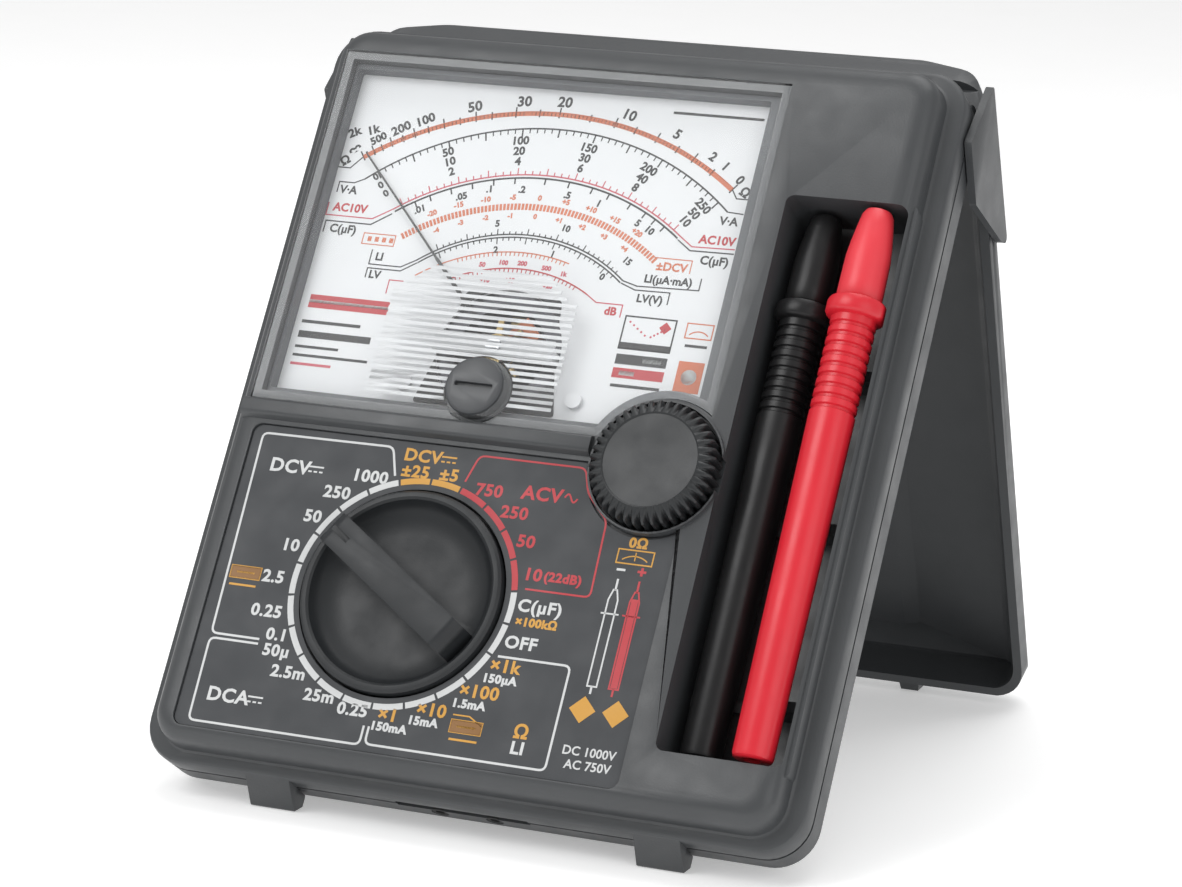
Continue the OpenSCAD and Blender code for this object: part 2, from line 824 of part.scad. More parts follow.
module probe_cap(at) {
    translate([at[0], at[1], 0]) difference() {
        union() {
            translate([0, 0, guard_z + 0.05]) cylinder(r = probe_r, h = 9);
            translate([0, 0, guard_z + 9]) cylinder(r1 = probe_r, r2 = 2.6, h = probe_top - guard_z - 9);
        }
        translate([0, 0, guard_z - 1]) cylinder(r = 1.25, h = 17);
    }
}

module probe_pin(at) {
    translate([at[0], at[1], 0]) {
        translate([0, 0, 92]) cylinder(r = 1, h = 24);
        translate([0, 0, 116]) cylinder(r1 = 1, r2 = 0.3, h = 2.5);
    }
}

module black_probe_barrel() {
    color("black") probe_barrel(black_at);
}

module black_probe_cap() {
    color("black") probe_cap(black_at);
}

module black_probe_pin() {
    color("silver") probe_pin(black_at);
}

module red_probe_barrel() {
    color("red") probe_barrel(red_at);
}

module red_probe_cap() {
    color("red") probe_cap(red_at);
}

module red_probe_pin() {
    color("silver") probe_pin(red_at);
}

leaned() front_case();
leaned() rear_case();
leaned() case_screws();
leaned() window();
leaned() dial_bezel();
leaned() dial_plate();
leaned() dial_screws();
leaned() range_plate();
leaned() circuit_board();
leaned() switch_pads();
leaned() resistors();
leaned() capacitors();
leaned() diodes();
leaned() trimmer();
leaned() potentiometer();
leaned() lead_grommets();
leaned() meter_frame();
leaned() meter_yoke();
leaned() meter_core();
leaned() core_holder();
leaned() meter_bridges();
leaned() jewel_screws();
leaned() aa_cells();
leaned() battery_contacts();
leaned() fuse();
leaned() fuse_clips();
leaned() stand_cover();
leaned() range_knob();
leaned() switch_rotor();
leaned() wipers();
leaned() detent_balls();
leaned() detent_springs();
leaned() knob_clip();
leaned() zero_ohm_knob();
leaned() pot_shaft();
leaned() zero_corrector();
leaned() zero_lever();
leaned() pointer();
leaned() coil_former();
leaned() coil_winding();
leaned() coil_pivots();
leaned() balance_weights();
leaned() hairsprings();
leaned() black_probe_barrel();
leaned() black_probe_cap();
leaned() black_probe_pin();
leaned() red_probe_barrel();
leaned() red_probe_cap();
leaned() red_probe_pin();
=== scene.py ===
"""Looks of the analog multimeter, laid out as a Blender add-on: one operator a piece, run in order by main()."""
import math
import bmesh
import bpy
from bpy.props import BoolProperty, FloatProperty, FloatVectorProperty, IntProperty, PointerProperty
from mathutils import Matrix, Vector


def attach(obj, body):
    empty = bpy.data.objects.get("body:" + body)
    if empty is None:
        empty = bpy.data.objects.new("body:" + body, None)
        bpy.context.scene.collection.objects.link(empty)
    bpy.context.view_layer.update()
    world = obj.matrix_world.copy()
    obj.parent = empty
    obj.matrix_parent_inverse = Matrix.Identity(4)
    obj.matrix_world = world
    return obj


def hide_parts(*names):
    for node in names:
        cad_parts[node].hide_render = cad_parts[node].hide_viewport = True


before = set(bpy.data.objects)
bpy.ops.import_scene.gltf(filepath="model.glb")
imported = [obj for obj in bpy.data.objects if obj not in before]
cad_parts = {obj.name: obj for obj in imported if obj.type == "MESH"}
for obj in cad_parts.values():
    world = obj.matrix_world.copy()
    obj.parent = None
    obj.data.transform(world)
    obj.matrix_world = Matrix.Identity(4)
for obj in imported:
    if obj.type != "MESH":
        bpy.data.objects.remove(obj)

bl_info = {
    "name": "Analog multimeter",
    "version": (1, 0, 0),
    "blender": (4, 5, 0),
    "location": "3D View > Sidebar > Meter",
    "description": "Builds the looks of an analog multimeter on its stand cover",
    "category": "Add Mesh",
}


# ---- settings ----
class MeterShape(bpy.types.PropertyGroup):
    """Sizes of the case, in millimetres"""
    case_w: FloatProperty(name="Case width", description="Width of the case", default=131.0)
    case_h: FloatProperty(name="Case height", description="Height of the case's upper edge", default=154.2)
    corner: FloatProperty(name="Corner radius", description="Radius of the case outline's corners", default=8.0)
    open_angle: FloatProperty(name="Cover angle", description="Opening of the stand cover, in degrees", default=54.3,
                               min=50.0, max=54.3)
    shift: FloatProperty(name="Shift", description="Shift that centres the meter over its feet", default=-80.267)
    edge: FloatProperty(name="Edge rounding", description="Rounding of moulded edges", default=0.35)


class MeterDial(bpy.types.PropertyGroup):
    """The dial and the pointer"""
    pointer_len: FloatProperty(name="Pointer length", description="Length from the axis", default=53.7)
    pointer_rest: FloatProperty(name="Rest angle", description="Angle of the resting pointer", default=135.0)
    rib_pitch: FloatProperty(name="Rib pitch", description="Spacing of the window's frosted ribs", default=1.31)
    positions: IntProperty(name="Range positions", description="Dashes of the ring round the range knob", default=22)
    flutes: IntProperty(name="Flutes", description="Grip flutes of the zero knob", default=42)


class MeterLook(bpy.types.PropertyGroup):
    """Colours and finish"""
    case_color: FloatVectorProperty(name="Case", description="Colour of the case", subtype="COLOR",
                                    default=(0.046, 0.049, 0.052), size=3)
    panel_color: FloatVectorProperty(name="Panel", description="Colour of the range panel", subtype="COLOR",
                                     default=(0.038, 0.041, 0.045), size=3)
    probe_color: FloatVectorProperty(name="Probe", description="Colour of the red probe", subtype="COLOR",
                                     default=(0.62, 0.014, 0.027), size=3)
    grain: FloatProperty(name="Grain", description="Depth of the moulded grain", default=0.12, min=0.0, max=1.0,
                         subtype="FACTOR")
    floor: BoolProperty(name="Floor", description="Add the studio floor", default=True)


# positions that several pieces share, in the case's own frame and in millimetres
PIVOT = (14.9, 147.0)
FOOT = (13.6, -3.4)
FOOT_X = 38.8
TIP = (139.2, 6.9)
WINDOW = (-59.35, 72.25, 33.25, 145.95)
PANEL = (-57.0, 6.5, 32.5, 67.0)
TROUGH = (37.6, 14.8, 61.1, 123.6)
KNOB = (-18.2, 37.4)
ZERO = (25.3, 67.2)
ZERO_R = 12.2
AXIS = (-13.7, 88.4)
CORRECTOR = (-13.7, 78.6)
BLACK_AT = (43.6, 7.6)
RED_AT = (55.1, 2.5)
GUARD_Z = 104.5


def shape():
    return bpy.context.scene.meter_shape


def dial():
    return bpy.context.scene.meter_dial


def look():
    return bpy.context.scene.meter_look


# ---- frames ----
def lean():
    a = math.radians(shape().open_angle)
    tip_y = PIVOT[0] + TIP[0] * math.sin(a) + TIP[1] * math.cos(a)
    tip_z = PIVOT[1] - TIP[0] * math.cos(a) + TIP[1] * math.sin(a)
    return math.atan((tip_z - FOOT[1]) / (tip_y - FOOT[0]))


def case_frame():
    a = lean()
    lift = FOOT[0] * math.sin(a) - FOOT[1] * math.cos(a)
    return (Matrix.Scale(0.001, 4) @ Matrix.Translation((0, shape().shift, lift))
            @ Matrix.Rotation(-a, 4, "X"))


def cover_frame():
    return (case_frame() @ Matrix.Translation((0, PIVOT[0], PIVOT[1]))
            @ Matrix.Rotation(math.radians(shape().open_angle), 4, "X"))


# ---- outlines ----
def rounded(x0, z0, x1, z1, r, n=8):
    out = []
    for cx, cz, a0 in ((x1 - r, z1 - r, 0), (x0 + r, z1 - r, 90), (x0 + r, z0 + r, 180), (x1 - r, z0 + r, 270)):
        for k in range(n + 1):
            a = math.radians(a0 + 90 * k / n)
            out.append((cx + r * math.cos(a), cz + r * math.sin(a)))
    return out


def fillet(points, n=5):
    """An outline whose corners (x, z, radius) are rounded."""
    out = []
    count = len(points)
    for i in range(count):
        x, z, r = points[i]
        p = Vector((x, z))
        if r <= 0:
            out.append((x, z))
            continue
        a = (Vector(points[i - 1][:2]) - p).normalized()
        b = (Vector(points[(i + 1) % count][:2]) - p).normalized()
        half = a.angle(b) / 2
        if half > 1.55:
            out.append((x, z))
            continue
        reach = r / math.tan(half)
        centre = p + (a + b).normalized() * r / math.sin(half)
        va = p + a * reach - centre
        vb = p + b * reach - centre
        turn = va.angle_signed(vb)
        for k in range(n + 1):
            v = va.copy()
            v.rotate(Matrix.Rotation(-turn * k / n, 2))
            out.append(tuple(centre + v))
    return out


def circle(x, z, r, n=96):
    return [(x + r * math.cos(2 * math.pi * k / n), z + r * math.sin(2 * math.pi * k / n)) for k in range(n)]


# ---- meshes ----
def loft(rings, close=False):
    bm = bmesh.new()
    rows = [[bm.verts.new(p) for p in ring] for ring in rings]
    n = len(rows[0])
    pairs = list(zip(rows, rows[1:]))
    if close:
        pairs.append((rows[-1], rows[0]))
    for a, b in pairs:
        for k in range(n):
            bm.faces.new((a[k], a[(k + 1) % n], b[(k + 1) % n], b[k]))
    if not close:
        bm.faces.new(rows[0])
        bm.faces.new(list(reversed(rows[-1])))
    bmesh.ops.recalc_face_normals(bm, faces=bm.faces)
    return bm


def prism(outline, y0, y1):
    return loft([[(x, y0, z) for x, z in outline], [(x, y1, z) for x, z in outline]])


def across(outline, x0, x1):
    """An outline in depth and height, given width."""
    return loft([[(x0, y, z) for y, z in outline], [(x1, y, z) for y, z in outline]])


def lathe(profile, at, along="Y", n=64):
    """A turned piece: profile is (radius, position along the axis)."""
    bm = bmesh.new()
    rows = []
    for r, t in profile:
        ring = []
        for k in range(n if r > 1e-6 else 1):
            a = 2 * math.pi * k / n
            u, v = r * math.cos(a), r * math.sin(a)
            if along == "Y":
                ring.append(bm.verts.new((at[0] + u, t, at[1] + v)))
            elif along == "Z":
                ring.append(bm.verts.new((at[0] + u, at[1] + v, t)))
            else:
                ring.append(bm.verts.new((t, at[0] + u, at[1] + v)))
        rows.append(ring)
    for a, b in zip(rows, rows[1:]):
        for k in range(n):
            j = (k + 1) % n
            if len(a) == 1 and len(b) == 1:
                continue
            if len(a) == 1:
                bm.faces.new((a[0], b[j], b[k]))
            elif len(b) == 1:
                bm.faces.new((a[k], a[j], b[0]))
            else:
                bm.faces.new((a[k], a[j], b[j], b[k]))
    bmesh.ops.recalc_face_normals(bm, faces=bm.faces)
    return bm


def disc(at, r, y0, y1, n=96):
    return lathe([(0, y0), (r, y0), (r, y1), (0, y1)], at, n=n)


def block(x0, y0, z0, x1, y1, z1):
    return loft([[(x, y0, z) for x, z in ((x0, z0), (x1, z0), (x1, z1), (x0, z1))],
                 [(x, y1, z) for x, z in ((x0, z0), (x1, z0), (x1, z1), (x0, z1))]])


def as_object(name, bm):
    mesh = bpy.data.meshes.new(name)
    bm.to_mesh(mesh)
    bm.free()
    obj = bpy.data.objects.new(name, mesh)
    bpy.context.scene.collection.objects.link(obj)
    return obj


def applied(obj):
    """Applies the modifiers of obj."""
    bpy.context.view_layer.update()
    seen = obj.evaluated_get(bpy.context.evaluated_depsgraph_get())
    mesh = bpy.data.meshes.new_from_object(seen)
    obj.modifiers.clear()
    old = obj.data
    obj.data = mesh
    mesh.name = obj.name
    bpy.data.meshes.remove(old)


def combine(obj, bm, how):
    tool = as_object("tool", bm)
    mod = obj.modifiers.new("shape", "BOOLEAN")
    mod.operation = how
    mod.solver = "EXACT"
    mod.object = tool
    applied(obj)
    mesh = tool.data
    bpy.data.objects.remove(tool)
    bpy.data.meshes.remove(mesh)
    if len(obj.data.polygons) < 4:
        raise RuntimeError("shaping " + obj.name + " left nothing")


def cut(obj, *tools):
    for bm in tools:
        combine(obj, bm, "DIFFERENCE")


def add(obj, *tools):
    for bm in tools:
        combine(obj, bm, "UNION")


def keep(obj, *tools):
    for bm in tools:
        combine(obj, bm, "INTERSECT")


def merge(name, parts):
    """One object of several separate meshes."""
    bm = bmesh.new()
    for part in parts:
        mesh = bpy.data.meshes.new("part")
        part.to_mesh(mesh)
        part.free()
        bm.from_mesh(mesh)
        bpy.data.meshes.remove(mesh)
    return as_object(name, bm)


def soften(obj, width=0.35, angle=35, segments=2):
    bm = bmesh.new()
    bm.from_mesh(obj.data)
    bmesh.ops.remove_doubles(bm, verts=bm.verts, dist=0.002)
    bmesh.ops.dissolve_limit(bm, angle_limit=math.radians(0.3), verts=bm.verts, edges=bm.edges)
    bm.to_mesh(obj.data)
    bm.free()
    mod = obj.modifiers.new("edges", "BEVEL")
    mod.width = width
    mod.segments = segments
    mod.limit_method = "ANGLE"
    mod.angle_limit = math.radians(angle)
    mod.use_clamp_overlap = True
    applied(obj)


def smooth(obj, angle=32):
    bm = bmesh.new()
    bm.from_mesh(obj.data)
    for f in bm.faces:
        f.smooth = True
    for e in bm.edges:
        if len(e.link_faces) == 2:
            e.smooth = e.calc_face_angle(0) < math.radians(angle)
    bm.to_mesh(obj.data)
    bm.free()


def finish_piece(obj, matrix, body, mats, replaces=(), angle=32):
    obj.data.transform(matrix)
    smooth(obj, angle)
    for m in mats if isinstance(mats, (list, tuple)) else [mats]:
        obj.data.materials.append(m)
    if replaces:
        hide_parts(*replaces)
    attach(obj, body)
    return obj


# ---- materials ----
def nodes_of(name):
    mat = bpy.data.materials.new(name)
    mat.use_nodes = True
    tree = mat.node_tree
    bsdf = tree.nodes["Principled BSDF"]
    where = tree.nodes.new("ShaderNodeTexCoord")
    return mat, tree, bsdf, where


def noise(tree, where, scale, detail=4.0):
    n = tree.nodes.new("ShaderNodeTexNoise")
    n.inputs["Scale"].default_value = scale
    n.inputs["Detail"].default_value = detail
    tree.links.new(where.outputs["Object"], n.inputs["Vector"])
    return n


def ranged(tree, source, low, high):
    m = tree.nodes.new("ShaderNodeMapRange")
    m.inputs["From Min"].default_value = 0.3
    m.inputs["From Max"].default_value = 0.7
    m.inputs["To Min"].default_value = low
    m.inputs["To Max"].default_value = high
    tree.links.new(source, m.inputs["Value"])
    return m


def finish_mat(name, color, rough=0.45, vary=0.08, grain=0.1, grain_scale=3500.0, metal=0.0, tint=0.12,
               coat=0.0, brushed=False, shine=0.5):
    """A solid finish with colour and roughness variation and moulded or machined grain."""
    mat, tree, bsdf, where = nodes_of(name)
    links = tree.links
    cloud = noise(tree, where, 45.0)
    mix = tree.nodes.new("ShaderNodeMix")
    mix.data_type = "RGBA"
    mix.inputs["A"].default_value = tuple(c * (1 - tint) for c in color) + (1,)
    mix.inputs["B"].default_value = tuple(min(1, c * (1 + tint)) for c in color) + (1,)
    links.new(ranged(tree, cloud.outputs["Fac"], 0.0, 1.0).outputs["Result"], mix.inputs["Factor"])
    links.new(mix.outputs["Result"], bsdf.inputs["Base Color"])
    smear = noise(tree, where, 160.0, 6.0)
    links.new(ranged(tree, smear.outputs["Fac"], rough - vary, rough + vary).outputs["Result"],
              bsdf.inputs["Roughness"])
    bsdf.inputs["Metallic"].default_value = metal
    bsdf.inputs["Specular IOR Level"].default_value = shine
    bsdf.inputs["Coat Weight"].default_value = coat
    bsdf.inputs["Coat Roughness"].default_value = 0.15
    fine = noise(tree, where, grain_scale, 3.0)
    if brushed:
        spread = tree.nodes.new("ShaderNodeMapping")
        spread.inputs["Scale"].default_value = (1.0, 14.0, 1.0)
        links.new(where.outputs["Object"], spread.inputs["Vector"])
        links.new(spread.outputs["Vector"], fine.inputs["Vector"])
    bump = tree.nodes.new("ShaderNodeBump")
    bump.inputs["Strength"].default_value = grain
    bump.inputs["Distance"].default_value = 0.0001
    links.new(fine.outputs["Fac"], bump.inputs["Height"])
    links.new(bump.outputs["Normal"], bsdf.inputs["Normal"])
    return mat


def clear_mat(name, tint, gloss, rough, haze=0.0, haze_color=(0.9, 0.92, 0.93)):
    """Clear moulding: mostly see-through, with a constant share of gloss and of haze."""
    mat, tree, bsdf, where = nodes_of(name)
    links = tree.links
    out = next(n for n in tree.nodes if n.type == "OUTPUT_MATERIAL")
    through = tree.nodes.new("ShaderNodeBsdfTransparent")
    through.inputs["Color"].default_value = tuple(tint) + (1,)
    shine = tree.nodes.new("ShaderNodeBsdfGlossy")
    smear = noise(tree, where, 60.0, 1.0)
    links.new(ranged(tree, smear.outputs["Fac"], rough * 0.7, rough * 1.3).outputs["Result"],
              shine.inputs["Roughness"])
    mix = tree.nodes.new("ShaderNodeMixShader")
    mix.inputs[0].default_value = gloss
    links.new(through.outputs[0], mix.inputs[1])
    links.new(shine.outputs[0], mix.inputs[2])
    last = mix
    if haze > 0:
        bsdf.inputs["Base Color"].default_value = tuple(haze_color) + (1,)
        bsdf.inputs["Roughness"].default_value = 0.5
        mix2 = tree.nodes.new("ShaderNodeMixShader")
        mix2.inputs[0].default_value = haze
        links.new(mix.outputs[0], mix2.inputs[1])
        links.new(bsdf.outputs[0], mix2.inputs[2])
        last = mix2
    links.new(last.outputs[0], out.inputs["Surface"])
    return mat


def case_mat():
    m = bpy.data.materials.get("case_grey")
    return m or finish_mat("case_grey", tuple(look().case_color), 0.42, 0.07, look().grain * 2, 2600.0, tint=0.06)


# ---- print: inks laid flat on a plate ----
class Print:
    """Lines, shapes and figures printed on a plate that faces the reader, in plate millimetres."""

    def __init__(self, y, scale=1.0, weight=0.03, grow=0.0):
        self.bm = bmesh.new()
        self.weight = weight
        self.grow = grow
        self.y = y
        self.scale = scale

    def face(self, pts, ink):
        verts = [self.bm.verts.new((x * self.scale, self.y, z * self.scale)) for x, z in pts]
        f = self.bm.faces.new(verts)
        f.material_index = ink
        f.normal_update()
        if f.normal.y > 0:
            f.normal_flip()

    def line(self, pts, width, ink, closed=False):
        n = len(pts)
        vs = [Vector(p) for p in pts]
        sides = []
        for i in range(n):
            a = vs[i - 1] if i or closed else vs[i]
            b = vs[(i + 1) % n] if i < n - 1 or closed else vs[i]
            d1 = (vs[i] - a).normalized() if (vs[i] - a).length > 0 else (b - vs[i]).normalized()
            d2 = (b - vs[i]).normalized() if (b - vs[i]).length > 0 else d1
            m = (d1 + d2)
            m = m.normalized() if m.length > 0.1 else d1
            k = 1 / max(0.4, m.dot(d1))
            side = Vector((-m.y, m.x)) * ((width + self.grow) / 2 * k)
            sides.append((vs[i] + side, vs[i] - side))
        for i in range(n if closed else n - 1):
            (a, b), (c, d) = sides[i], sides[(i + 1) % n]
            self.face([a, c, d, b], ink)

    def arc(self, cx, cz, r, a0, a1, width, ink, n=48):
        self.line([(cx + r * math.cos(math.radians(a0 + (a1 - a0) * k / n)),
                    cz + r * math.sin(math.radians(a0 + (a1 - a0) * k / n))) for k in range(n + 1)], width, ink)

    def tick(self, cx, cz, r0, r1, a, width, ink):
        c, s = math.cos(math.radians(a)), math.sin(math.radians(a))
        self.line([(cx + r0 * c, cz + r0 * s), (cx + r1 * c, cz + r1 * s)], width, ink)

    def spot(self, x, z, r, ink, n=24):
        self.face(circle(x, z, r, n), ink)

    def text(self, words, x, z, size, ink, turn=0.0, bold=0.0, wide=1.0):
        curve = bpy.data.curves.new("figures", "FONT")
        curve.body = words
        curve.size = size
        curve.align_x = "CENTER"
        curve.align_y = "CENTER"
        curve.offset = bold + self.weight
        curve.space_character = 1 + bold
        curve.resolution_u = 3
        obj = bpy.data.objects.new("figures", curve)
        bpy.context.scene.collection.objects.link(obj)
        bpy.context.view_layer.update()
        mesh = bpy.data.meshes.new_from_object(obj.evaluated_get(bpy.context.evaluated_depsgraph_get()))
        spin = Matrix.Rotation(math.radians(turn), 2)
        verts = []
        for v in mesh.vertices:
            p = spin @ Vector((v.co.x * wide, v.co.y)) + Vector((x, z))
            verts.append(self.bm.verts.new((p.x * self.scale, self.y, p.y * self.scale)))
        for poly in mesh.polygons:
            try:
                f = self.bm.faces.new([verts[i] for i in poly.vertices])
            except ValueError:
                continue
            f.material_index = ink
            f.normal_update()
            if f.normal.y > 0:
                f.normal_flip()
        bpy.data.objects.remove(obj)
        bpy.data.curves.remove(curve)
        bpy.data.meshes.remove(mesh)

    def object(self, name, thick=0.04):
        obj = as_object(name, self.bm)
        mod = obj.modifiers.new("ink", "SOLIDIFY")
        mod.thickness = thick
        mod.offset = -1
        applied(obj)
        return obj


def inks():
    made = []
    for name, color in (("ink_white", (0.56, 0.57, 0.57)), ("ink_orange", (0.56, 0.28, 0.035)),
                        ("ink_red", (0.44, 0.03, 0.04)), ("ink_black", (0.018, 0.018, 0.02)),
                        ("ink_pale_orange", (0.55, 0.15, 0.07)), ("ink_rose", (0.50, 0.08, 0.11)),
                        ("ink_fill", (0.22, 0.10, 0.02))):
        made.append(bpy.data.materials.get(name)
                    or finish_mat(name, color, 0.5, 0.06, 0.05, 2500.0, tint=0.04))
    return made


WHITE, ORANGE, RED, BLACK, PALE, ROSE, FILL = range(7)


# ---- pieces ----
class Piece(bpy.types.Operator):
    """Base of the operators that build the pieces"""
    bl_options = {"REGISTER", "UNDO"}

    def execute(self, context):
        self.build(context)
        return {"FINISHED"}


def window_outline(inset, hollow_r, n=28):
    """The window's outline, hollowed round the zero knob."""
    x0, z0, x1, z1 = WINDOW[0] + inset, WINDOW[1] + inset, WINDOW[2] - inset, WINDOW[3] - inset
    low = math.asin((z0 - ZERO[1]) / hollow_r)
    a1 = math.pi - low
    a0 = math.acos(max(-1.0, min(1.0, (x1 - ZERO[0]) / hollow_r)))
    out = [(x0, z0)]
    for k in range(n + 1):
        a = a1 + (a0 - a1) * k / n
        out.append((ZERO[0] + hollow_r * math.cos(a), ZERO[1] + hollow_r * math.sin(a)))
    out += [(x1, z1), (x0, z1)]
    return out


class METER_OT_front(Piece):
    """Front case: stepped shell with window opening, range panel, wells, probe trough and feet"""
    bl_idname = "meter.front"
    bl_label = "Front case"

    def build(self, context):
        s = shape()
        hw, h = s.case_w / 2, s.case_h
        steps = ((0.45, 12.5), (0.45, 12.12), (0, 12.0), (0, 8.0), (0.25, 7.35), (0.9, 7.02), (2.0, 6.95), (2.45, 6.6), (2.6, 5.6), (2.75, 3.2),
                 (3.1, 1.9), (3.8, 0.95), (4.9, 0.32), (6.2, 0.05), (7.2, 0.0))
        rings = []
        for i, y in steps:
            j = i + min(i, 2.5) * 0.4
            rings.append([(x, y, z) for x, z in rounded(-hw + j, 1.0 + i, hw - j, h - i,
                                                        max(2.5, s.corner - 0.75 * i))])
        obj = as_object("front_shell", loft(rings))
        cut(obj, prism(rounded(-60, 5.6, 60, 149.6, 4), 2.8, 13),
            prism(rounded(-hw + 1.8, 2.8, hw - 1.8, h - 1.8, 6.5), 9, 13.1),
            prism(window_outline(-0.15, ZERO_R + 1.5), -3, 4))
        walls = rounded(TROUGH[0] - 1.2, TROUGH[1] - 1.2, TROUGH[2] + 1.2, TROUGH[3] + 1.2, 1.5, 4)
        add(obj, prism(walls, 2.7, 15.2), disc(KNOB, 22, 1, 6), disc(ZERO, ZERO_R + 0.9, -0.9, 2.8))
        bar = fillet([(0.5, 67.7, 0), (-0.2, 67.9, 0.3), (-1.5, 68.6, 0.9), (-1.5, 71.4, 0.6), (0.5, 72.1, 0)])
        add(obj, across(bar, -60.0, 11.8))
        wedge = math.tan(lean())
        for side in (-1, 1):
            foot = fillet([(8, 2.5, 0), (12.4, 2.5, 0), (12.4, 0.7, 0), (16.6, 0.7, 0.3),
                           (16.6, FOOT[1] + (16.6 - FOOT[0]) * wedge, 0.3), (FOOT[0], FOOT[1], 0.6), (8, 1, 0)], 3)
            add(obj, across(foot, side * FOOT_X - 4.5, side * FOOT_X + 4.5))
        well = prism(rounded(*PANEL, 2.0), -3, 1.3)
        panel = as_object("panel_tool", well)
        cut(panel, disc(ZERO, ZERO_R + 0.9, -4, 3))
        bm = bmesh.new()
        bm.from_mesh(panel.data)
        bpy.data.objects.remove(panel)
        pocket = rounded(*TROUGH, 1.6, 5)
        cut(obj, bm, disc(KNOB, 20.35, -3, 4.8), disc(KNOB, 3.08, 4, 7, 32), disc(ZERO, ZERO_R + 0.5, -4, 1.6),
            disc(ZERO, 3.08, 1, 4, 32), prism(pocket, -3, 14), block(-14, 11.2, -1, 12.6, 13.5, 3.0))
        for z in (28, 62, 92):
            add(obj, block(TROUGH[0] - 0.5, 12.2, z - 1, 49.3, 14.5, z + 1),
                block(49.7, 7.1, z - 1, TROUGH[2] + 0.3, 14.5, z + 1))
        soften(obj, 0.3, 40)
        finish_piece(obj, case_frame(), "case", case_mat(), ["front_case"])


class METER_OT_rear(Piece):
    """Rear case: the CAD shell with rounded edges"""
    bl_idname = "meter.rear"
    bl_label = "Rear case"

    def build(self, context):
        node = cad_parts["rear_case"]
        mod = node.modifiers.new("edges", "BEVEL")
        mod.width = 0.0004
        mod.segments = 2
        mod.limit_method = "ANGLE"
        mod.angle_limit = math.radians(32)
        node.data.materials.clear()
        node.data.materials.append(case_mat())


def cover_section(i, depth=17.0):
    hw = shape().case_w / 2
    d = depth
    right = [(hw - i, -i - 0.01, 0), (hw - i, 5 - i * 0.2, 4), (hw - 4 - i * 0.7, d - 6.5 - i * 0.85, 5),
             (39 - i * 0.2, d - i * 1.05, 1.2), (35 + i * 0.15, d - 1 - i, 1.2)]
    left = [(-x, y, r) for x, y, r in reversed(right)]
    return fillet(right + left)


def cover_solid(name, i):
    """The cover's outer or inner form: a cross section kept inside its outline and its end profile."""
    hw = shape().case_w / 2
    rim, length, top = 3.0, 135.6, -4.4
    section = [(x, y + rim) for x, y in cover_section(i)]
    obj = as_object(name, loft([[(x, y, z) for x, y in section] for z in (-200, 100)]))
    keep(obj, prism(rounded(-hw + i, -length + i, hw - i, -top - i, 7 - i * 0.7), rim - i - 1, rim + 25))
    ends = fillet([(rim - i - 2, -length + i, 0), (rim + 9, -length + 0.6 + i, 4),
                   (rim + 17.2, -length + 5 + i * 0.5, 3), (rim + 17.2, -top - 3, 1.5), (rim + 14, -top - i, 2),
                   (rim - i - 2, -top - i, 0)])
    keep(obj, across(ends, -80, 80))
    return obj


class METER_OT_cover(Piece):
    """Stand cover: a shallow tray on two pins, with ears beside the case and two feet at its end"""
    bl_idname = "meter.cover"
    bl_label = "Stand cover"

    def build(self, context):
        hw = shape().case_w / 2
        obj = cover_solid("cover_shell", 0)
        inner = cover_solid("cover_inner", 1.8)
        bm = bmesh.new()
        bm.from_mesh(inner.data)
        bpy.data.objects.remove(inner)
        cut(obj, bm)
        ear = [(-7.7, 1.2, 0.5), (-7.7, -12.2, 0.8), (5.3, -27.7, 1.5), (8.7, -30, 1.0), (7.6, 5.4, 1.0)]
        root = [(4.2, 3.5, 0), (4.2, -26.4, 0), (5.3, -27.7, 0.6), (8.7, -30, 0.6), (7.6, 5.4, 0.6)]
        for side in (-1, 1):
            add(obj, across(fillet(root), *sorted((side * (hw - 1), side * (hw + 0.5)))))
        room = [(1, -1.4), (3, -1.4), (8.8, 2.5), (9.7, 2.5), (9.7, 9), (1, 9)]
        cut(obj, across(room, -80, 80))
        for side in (-1, 1):
            add(obj, across(fillet(ear), *sorted((side * (hw + 0.3), side * (hw + 1.7)))))
            add(obj, lathe([(0, min(side * (hw - 4), side * (hw + 0.4))), (1.5, min(side * (hw - 4), side * (hw + 0.4))),
                            (1.5, max(side * (hw - 4), side * (hw + 0.4))), (0, max(side * (hw - 4), side * (hw + 0.4)))],
                           (0, 0), "X", 32))
            foot = [(-2.3, -134.6), (2.3, -134.6), (2.3, -135.6), (1.1, -143), (-1.1, -143), (-2.3, -135.6)]
            tip = as_object("tip", prism([(x + side * 40, z) for x, z in foot], 2, 12))
            run = math.tan(math.radians(shape().open_angle) - lean())
            keep(tip, across([(4.5, -134.6), (9, -134.6), (9, -TIP[0] - (9 - TIP[1]) * run),
                              (4.5, -TIP[0] + (TIP[1] - 4.5) * run)], -60, 60))
            bm = bmesh.new()
            bm.from_mesh(tip.data)
            bpy.data.objects.remove(tip)
            add(obj, bm)
        soften(obj, 0.4, 38)
        finish_piece(obj, cover_frame(), "cover", case_mat(), ["stand_cover"], 36)


